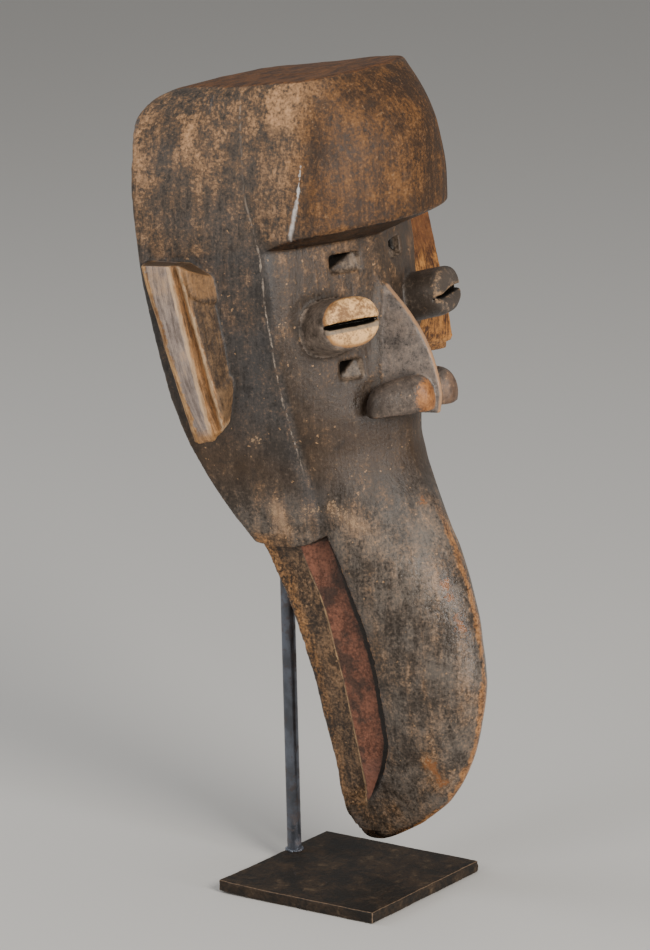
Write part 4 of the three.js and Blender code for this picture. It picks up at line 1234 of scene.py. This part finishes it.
def blackened_steel(colours):
    """Dark satin steel rod with a faint drawn grain."""
    base = tuple(colours.rod)
    f = Finish("blackened steel", base)
    cloud = f.noise(14, 4, 0.6)
    drawn = f.noise(0.9, 3, 0.6, of=f.stretched((1, 1, 0.03)))
    rust = (f.noise(5, 5, 0.7) + f.noise(30, 2, 0.5) * 0.4).fade(0.72, 0.86)
    colour = f.blend(cloud.fade(0.35, 0.65), base, (base[0] * 1.7, base[1] * 1.75, base[2] * 1.85))
    colour = f.blend(rust * 0.5, colour, (0.07, 0.035, 0.018))
    relief = f.relief(drawn, 0.06, f.relief(cloud, 0.15))
    return f.done(Base_Color=colour, Metallic=0.75 - rust * 0.6, Roughness=0.27 + cloud * 0.14 + rust * 0.25,
                  Normal=relief)


def rusted_steel(colours):
    """Mottled black plate with brown rust and rubbed corners."""
    base = tuple(colours.plate)
    f = Finish("rusted steel", base)
    cloud = f.noise(13, 6, 0.68, bend=0.4)
    fine = f.noise(2.2, 5, 0.7)
    colour = f.blend((cloud * 0.7 + fine * 0.35).fade(0.44, 0.66), base, (0.045, 0.026, 0.013))
    brown = (cloud * 0.5 + f.noise(5, 4, 0.7) * 0.6).fade(0.61, 0.73)
    colour = f.blend(brown * 0.7, colour, (0.12, 0.08, 0.045))
    colour = f.blend(fine.fade(0.62, 0.72) * 0.6, colour, (0.012, 0.01, 0.009))
    colour = f.blend((f.number("edge") + fine * 0.8).fade(0.9, 1.25), colour, (0.2, 0.13, 0.08))
    relief = f.relief(fine, 0.35, f.relief(cloud, 0.5))
    return f.done(Base_Color=colour, Metallic=0.35 - fine * 0.2, Roughness=0.5 + cloud * 0.25, Normal=relief)


def pale_floor(colours):
    """Plain pale floor."""
    base = tuple(colours.floor)
    return Finish("pale floor", base).done(Base_Color=base, Roughness=0.85)


def colour_of(name, description, value):
    return bpy.props.FloatVectorProperty(name=name, description=description, default=value,
                                         subtype="COLOR", min=0, max=1)


def length_of(name, description, value):
    return bpy.props.FloatProperty(name=name, description=description, default=value,
                                   subtype="DISTANCE", unit="LENGTH", min=0)


class MaskSizes(bpy.types.PropertyGroup):
    """Sizes of the mask's surface and of its stand"""
    carving_grain: length_of("Carving grain", "Spacing of the grid that the mask is carved on", 0.0013)
    adze_depth: length_of("Tool mark depth", "How far the tool marks wave in and out", 0.0003)
    chip_depth: length_of("Chip depth", "How deep the chips along the edges are", 0.0008)
    rod_radius: length_of("Rod radius", "Radius of the steel rod", 0.0039)
    rod_bottom: length_of("Rod foot", "Height of the rod's foot", 0.0067)
    rod_top: length_of("Rod top", "Height of the rod's top under the roof of the hollow", 0.4117)
    rod_behind: length_of("Rod behind middle", "Distance of the rod behind the plate's middle", 0.0463)
    plate_side: length_of("Plate side", "Side of the square foot plate", 0.102)
    plate_thick: length_of("Plate thickness", "Thickness of the foot plate", 0.0064)


class MaskColours(bpy.types.PropertyGroup):
    """Colours of the wood, the steel and the floor"""
    patina: colour_of("Patina", "Dark grey patina of the sides", (0.062, 0.046, 0.034))
    brown: colour_of("Brown", "Browner wood where the patina is thin", (0.125, 0.072, 0.038))
    tan: colour_of("Tan", "Rubbed spots", (0.34, 0.19, 0.092))
    ochre: colour_of("Ochre", "Worn edges and the ears' groove", (0.34, 0.155, 0.055))
    lids: colour_of("Lids", "Pale lids of the eyes", (0.86, 0.51, 0.22))
    mouth: colour_of("Mouth", "Red-brown strip of the mouth", (0.25, 0.095, 0.056))
    rod: colour_of("Rod", "Blackened steel of the rod", (0.09, 0.097, 0.113))
    plate: colour_of("Plate", "Dark steel of the foot plate", (0.009, 0.006, 0.0035))
    floor: colour_of("Floor", "Pale floor", (0.62, 0.61, 0.59))


class MASK_OT_carve(bpy.types.Operator):
    """Carve the mask from its block and give it its worn wood"""
    bl_idname = "mask.carve"
    bl_label = "Carve the mask"

    def execute(self, context):
        sizes = context.scene.mask_sizes
        block = Block(sizes.carving_grain / MM)
        block.carve()
        points, quads = block.skin()
        piece = mesh_from("mask_carving", points, quads, old_wood(context.scene.mask_colours))
        thin = piece.modifiers.new("fewer faces", "DECIMATE")
        thin.ratio = min(1.0, SKIN_TRIANGLES / (2 * len(quads)))
        plain_mesh(piece)
        mesh = piece.data
        points = points_of(mesh)
        places = mask_places(block, points)
        points = worn(block, points, places, sizes)
        placed = columns(points[:, 0] + MASK_ACROSS, -points[:, 1], points[:, 2]) * MM
        mesh.vertices.foreach_set("co", placed.astype(np.float32).ravel())
        mesh.flip_normals()
        mesh.update()
        for name, values in places.items():
            write_values(mesh, name, values)
        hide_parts("mask")
        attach(piece, "root")
        return {"FINISHED"}


def rod_tree(material):
    """Geometry nodes that draw the rod and the row of weld drops round its foot."""
    tree = bpy.data.node_groups.new("rod and weld", "GeometryNodeTree")
    for name, kind in (("Radius", "Float"), ("Foot", "Vector"), ("Top", "Vector"),
                       ("Drop Size", "Float"), ("Drops", "Int"), ("Seed", "Int")):
        tree.interface.new_socket(name, in_out="INPUT", socket_type="NodeSocket" + kind)
    tree.interface.new_socket("Geometry", in_out="OUTPUT", socket_type="NodeSocketGeometry")
    given, result = tree.nodes.new("NodeGroupInput"), tree.nodes.new("NodeGroupOutput")

    def node(kind, inputs, **settings):
        made = tree.nodes.new(kind)
        for key, value in settings.items():
            setattr(made, key, value)
        for key, value in inputs.items():
            if isinstance(value, bpy.types.NodeSocket):
                tree.links.new(value, made.inputs[key])
            else:
                made.inputs[key].default_value = value
        return made

    line = node("GeometryNodeCurvePrimitiveLine", {"Start": given.outputs["Foot"],
                                                   "End": given.outputs["Top"]})
    fine = node("GeometryNodeResampleCurve", {"Curve": line.outputs[0], "Count": 60})
    ring = node("GeometryNodeCurvePrimitiveCircle", {"Resolution": 48, "Radius": given.outputs["Radius"]})
    tube = node("GeometryNodeCurveToMesh", {"Curve": fine.outputs[0], "Profile Curve": ring.outputs[0],
                                            "Fill Caps": True})
    drops_at = node("GeometryNodeCurveToPoints", {"Curve": ring.outputs[0], "Count": given.outputs["Drops"]})
    drop = node("GeometryNodeMeshIcoSphere", {"Radius": given.outputs["Drop Size"], "Subdivisions": 3})
    size = node("FunctionNodeRandomValue", {"Seed": given.outputs["Seed"]}, data_type="FLOAT_VECTOR")
    size.inputs["Min"].default_value, size.inputs["Max"].default_value = (0.8, 0.8, 0.55), (1.25, 1.25, 0.95)
    placed = node("GeometryNodeInstanceOnPoints", {
        "Points": drops_at.outputs["Points"], "Instance": drop.outputs["Mesh"], "Scale": size.outputs[0]})
    solid = node("GeometryNodeRealizeInstances", {"Geometry": placed.outputs[0]})
    lifted = node("GeometryNodeTransform", {"Geometry": solid.outputs[0],
                                            "Translation": given.outputs["Foot"]})
    whole = node("GeometryNodeJoinGeometry", {})
    tree.links.new(tube.outputs[0], whole.inputs[0])
    tree.links.new(lifted.outputs[0], whole.inputs[0])
    soft = node("GeometryNodeSetShadeSmooth", {"Geometry": whole.outputs[0]})
    painted = node("GeometryNodeSetMaterial", {"Geometry": soft.outputs[0]})
    painted.inputs["Material"].default_value = material
    tree.links.new(painted.outputs[0], result.inputs[0])
    return tree


class MASK_OT_rod(bpy.types.Operator):
    """Make the steel rod and its weld"""
    bl_idname = "mask.rod"
    bl_label = "Make the rod"

    def execute(self, context):
        sizes = context.scene.mask_sizes
        piece = linked("steel_rod", bpy.data.meshes.new("steel_rod"))
        tree = rod_tree(blackened_steel(context.scene.mask_colours))
        maker = piece.modifiers.new("rod", "NODES")
        maker.node_group = tree
        across = MASK_ACROSS * MM
        given = {
            "Radius": sizes.rod_radius, "Foot": (across, sizes.rod_behind, sizes.rod_bottom),
            "Top": (across, sizes.rod_behind, sizes.rod_top),
            "Drop Size": DROP_RADIUS, "Drops": DROPS, "Seed": DROP_SEED,
        }
        for item in tree.interface.items_tree:
            if item.in_out == "INPUT":
                maker[item.identifier] = given[item.name]
        plain_mesh(piece)
        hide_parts("rod")
        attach(piece, "root")
        return {"FINISHED"}


def sawn_plate(unit, half, thick):
    """A plate's points out of a unit cube's, with softened uneven sides, and how near an edge each is."""
    reach = np.array([half, half, thick / 2])
    points = unit * reach
    core = np.clip(points, PLATE_ROUNDING - reach, reach - PLATE_ROUNDING)
    off = points - core
    far = np.maximum(np.linalg.norm(off, axis=1), 1e-6)
    points = core + off * (np.minimum(PLATE_ROUNDING, far) / far)[:, None]
    edge = np.clip(far - 0.95, 0, 0.5) * 2
    rough = Lumps(SAW_SEED)
    ragged = rough.at(points, 6) * 0.45 + rough.at(points, 1.8) * 0.22
    on_side = np.abs(unit[:, :2]) > 0.999
    points[:, :2] -= np.sign(unit[:, :2]) * on_side * (SAWN_DEPTH + ragged)[:, None]
    above = points[:, 2] > 0
    points[:, 2] += np.where(on_side.any(axis=1), 0, rough.at(points, 11) * 0.12 * above)
    points[:, 2] += thick / 2
    lifted = np.clip((points[:, 1] - points[:, 0] - 62) / 40, 0, 1) ** 2
    points[:, 2] += lifted * CORNER_LIFT
    return points, edge


class MASK_OT_plate(bpy.types.Operator):
    """Make the sawn and rusted foot plate"""
    bl_idname = "mask.plate"
    bl_label = "Make the foot plate"

    def execute(self, context):
        sizes = context.scene.mask_sizes
        made = bmesh.new()
        bmesh.ops.create_cube(made, size=2)
        bmesh.ops.subdivide_edges(made, edges=made.edges[:], cuts=PLATE_CUTS, use_grid_fill=True)
        mesh = mesh_of(made, "foot_plate")
        points, edge = sawn_plate(points_of(mesh), sizes.plate_side / 2 / MM, sizes.plate_thick / MM)
        mesh.vertices.foreach_set("co", (points * MM).astype(np.float32).ravel())
        mesh.polygons.foreach_set("use_smooth", np.ones(len(mesh.polygons), bool))
        mesh.update()
        write_values(mesh, "edge", edge)
        mesh.materials.append(rusted_steel(context.scene.mask_colours))
        piece = linked("foot_plate", mesh)
        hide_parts("base_plate")
        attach(piece, "root")
        return {"FINISHED"}


def hang_lights(scene):
    """Hangs the soft lights and lights the room a little."""
    world = bpy.data.worlds.new("soft room")
    world.use_nodes = True
    background = world.node_tree.nodes["Background"].inputs
    background["Color"].default_value = ROOM_COLOUR
    background["Strength"].default_value = ROOM_STRENGTH
    scene.world = world
    for name, place, size, power, colour in LIGHTS:
        light = bpy.data.lights.new(name, "AREA")
        light.shape, light.size, light.energy, light.color = "DISK", size, power, colour
        lamp = linked(name, light)
        lamp.location = place
        lamp.rotation_euler = (Vector(LIGHTS_AIM) - Vector(place)).to_track_quat("-Z", "Y").to_euler()


def set_camera(scene):
    """Puts the camera where the photo was taken."""
    turn, dip, roll = (math.radians(angle) for angle in (CAMERA_TURN, CAMERA_DIP, CAMERA_ROLL))
    ahead = Vector((math.sin(turn) * math.cos(dip), math.cos(turn) * math.cos(dip), -math.sin(dip)))
    level = Vector((math.cos(turn), -math.sin(turn), 0))
    upright = level.cross(ahead)
    right = math.cos(roll) * level + math.sin(roll) * upright
    up = -math.sin(roll) * level + math.cos(roll) * upright
    lens = bpy.data.cameras.new("camera")
    lens.lens, lens.sensor_width = CAMERA_LENS, CAMERA_SENSOR
    lens.clip_start, lens.clip_end = 0.1, 50
    camera = linked("camera", lens)
    camera.matrix_world = Matrix.Translation(CAMERA_PLACE) @ Matrix(
        (right, up, -ahead)).transposed().to_4x4()
    scene.camera = camera


class MASK_OT_stage(bpy.types.Operator):
    """Lay the floor, hang the soft lights and set the camera"""
    bl_idname = "mask.stage"
    bl_label = "Set the stage"

    def execute(self, context):
        made = bmesh.new()
        bmesh.ops.create_circle(made, cap_ends=True, segments=96, radius=FLOOR_RADIUS)
        mesh = mesh_of(made, "floor")
        mesh.materials.append(pale_floor(context.scene.mask_colours))
        floor = linked("floor", mesh)
        floor.location.z = -FLOOR_DROP
        hang_lights(context.scene)
        set_camera(context.scene)
        return {"FINISHED"}


class MASK_PT_panel(bpy.types.Panel):
    """Sizes, colours and steps of the mask"""
    bl_label = "Beaked mask"
    bl_idname = "MASK_PT_panel"
    bl_space_type = "VIEW_3D"
    bl_region_type = "UI"
    bl_category = "Mask"

    def draw(self, context):
        for settings in (context.scene.mask_sizes, context.scene.mask_colours):
            box = self.layout.box()
            for name in settings.bl_rna.properties.keys():
                if name not in ("rna_type", "name"):
                    box.prop(settings, name)
        for step in STEPS:
            self.layout.operator(step.bl_idname)


STEPS = (MASK_OT_carve, MASK_OT_rod, MASK_OT_plate, MASK_OT_stage)
CLASSES = (MaskSizes, MaskColours, *STEPS, MASK_PT_panel)


def register():
    for made in CLASSES:
        bpy.utils.register_class(made)
    bpy.types.Scene.mask_sizes = bpy.props.PointerProperty(type=MaskSizes)
    bpy.types.Scene.mask_colours = bpy.props.PointerProperty(type=MaskColours)


def unregister():
    del bpy.types.Scene.mask_colours
    del bpy.types.Scene.mask_sizes
    for made in reversed(CLASSES):
        bpy.utils.unregister_class(made)


def main():
    register()
    bpy.ops.mask.carve()
    bpy.ops.mask.rod()
    bpy.ops.mask.plate()
    bpy.ops.mask.stage()


if __name__ == "__main__":
    main()
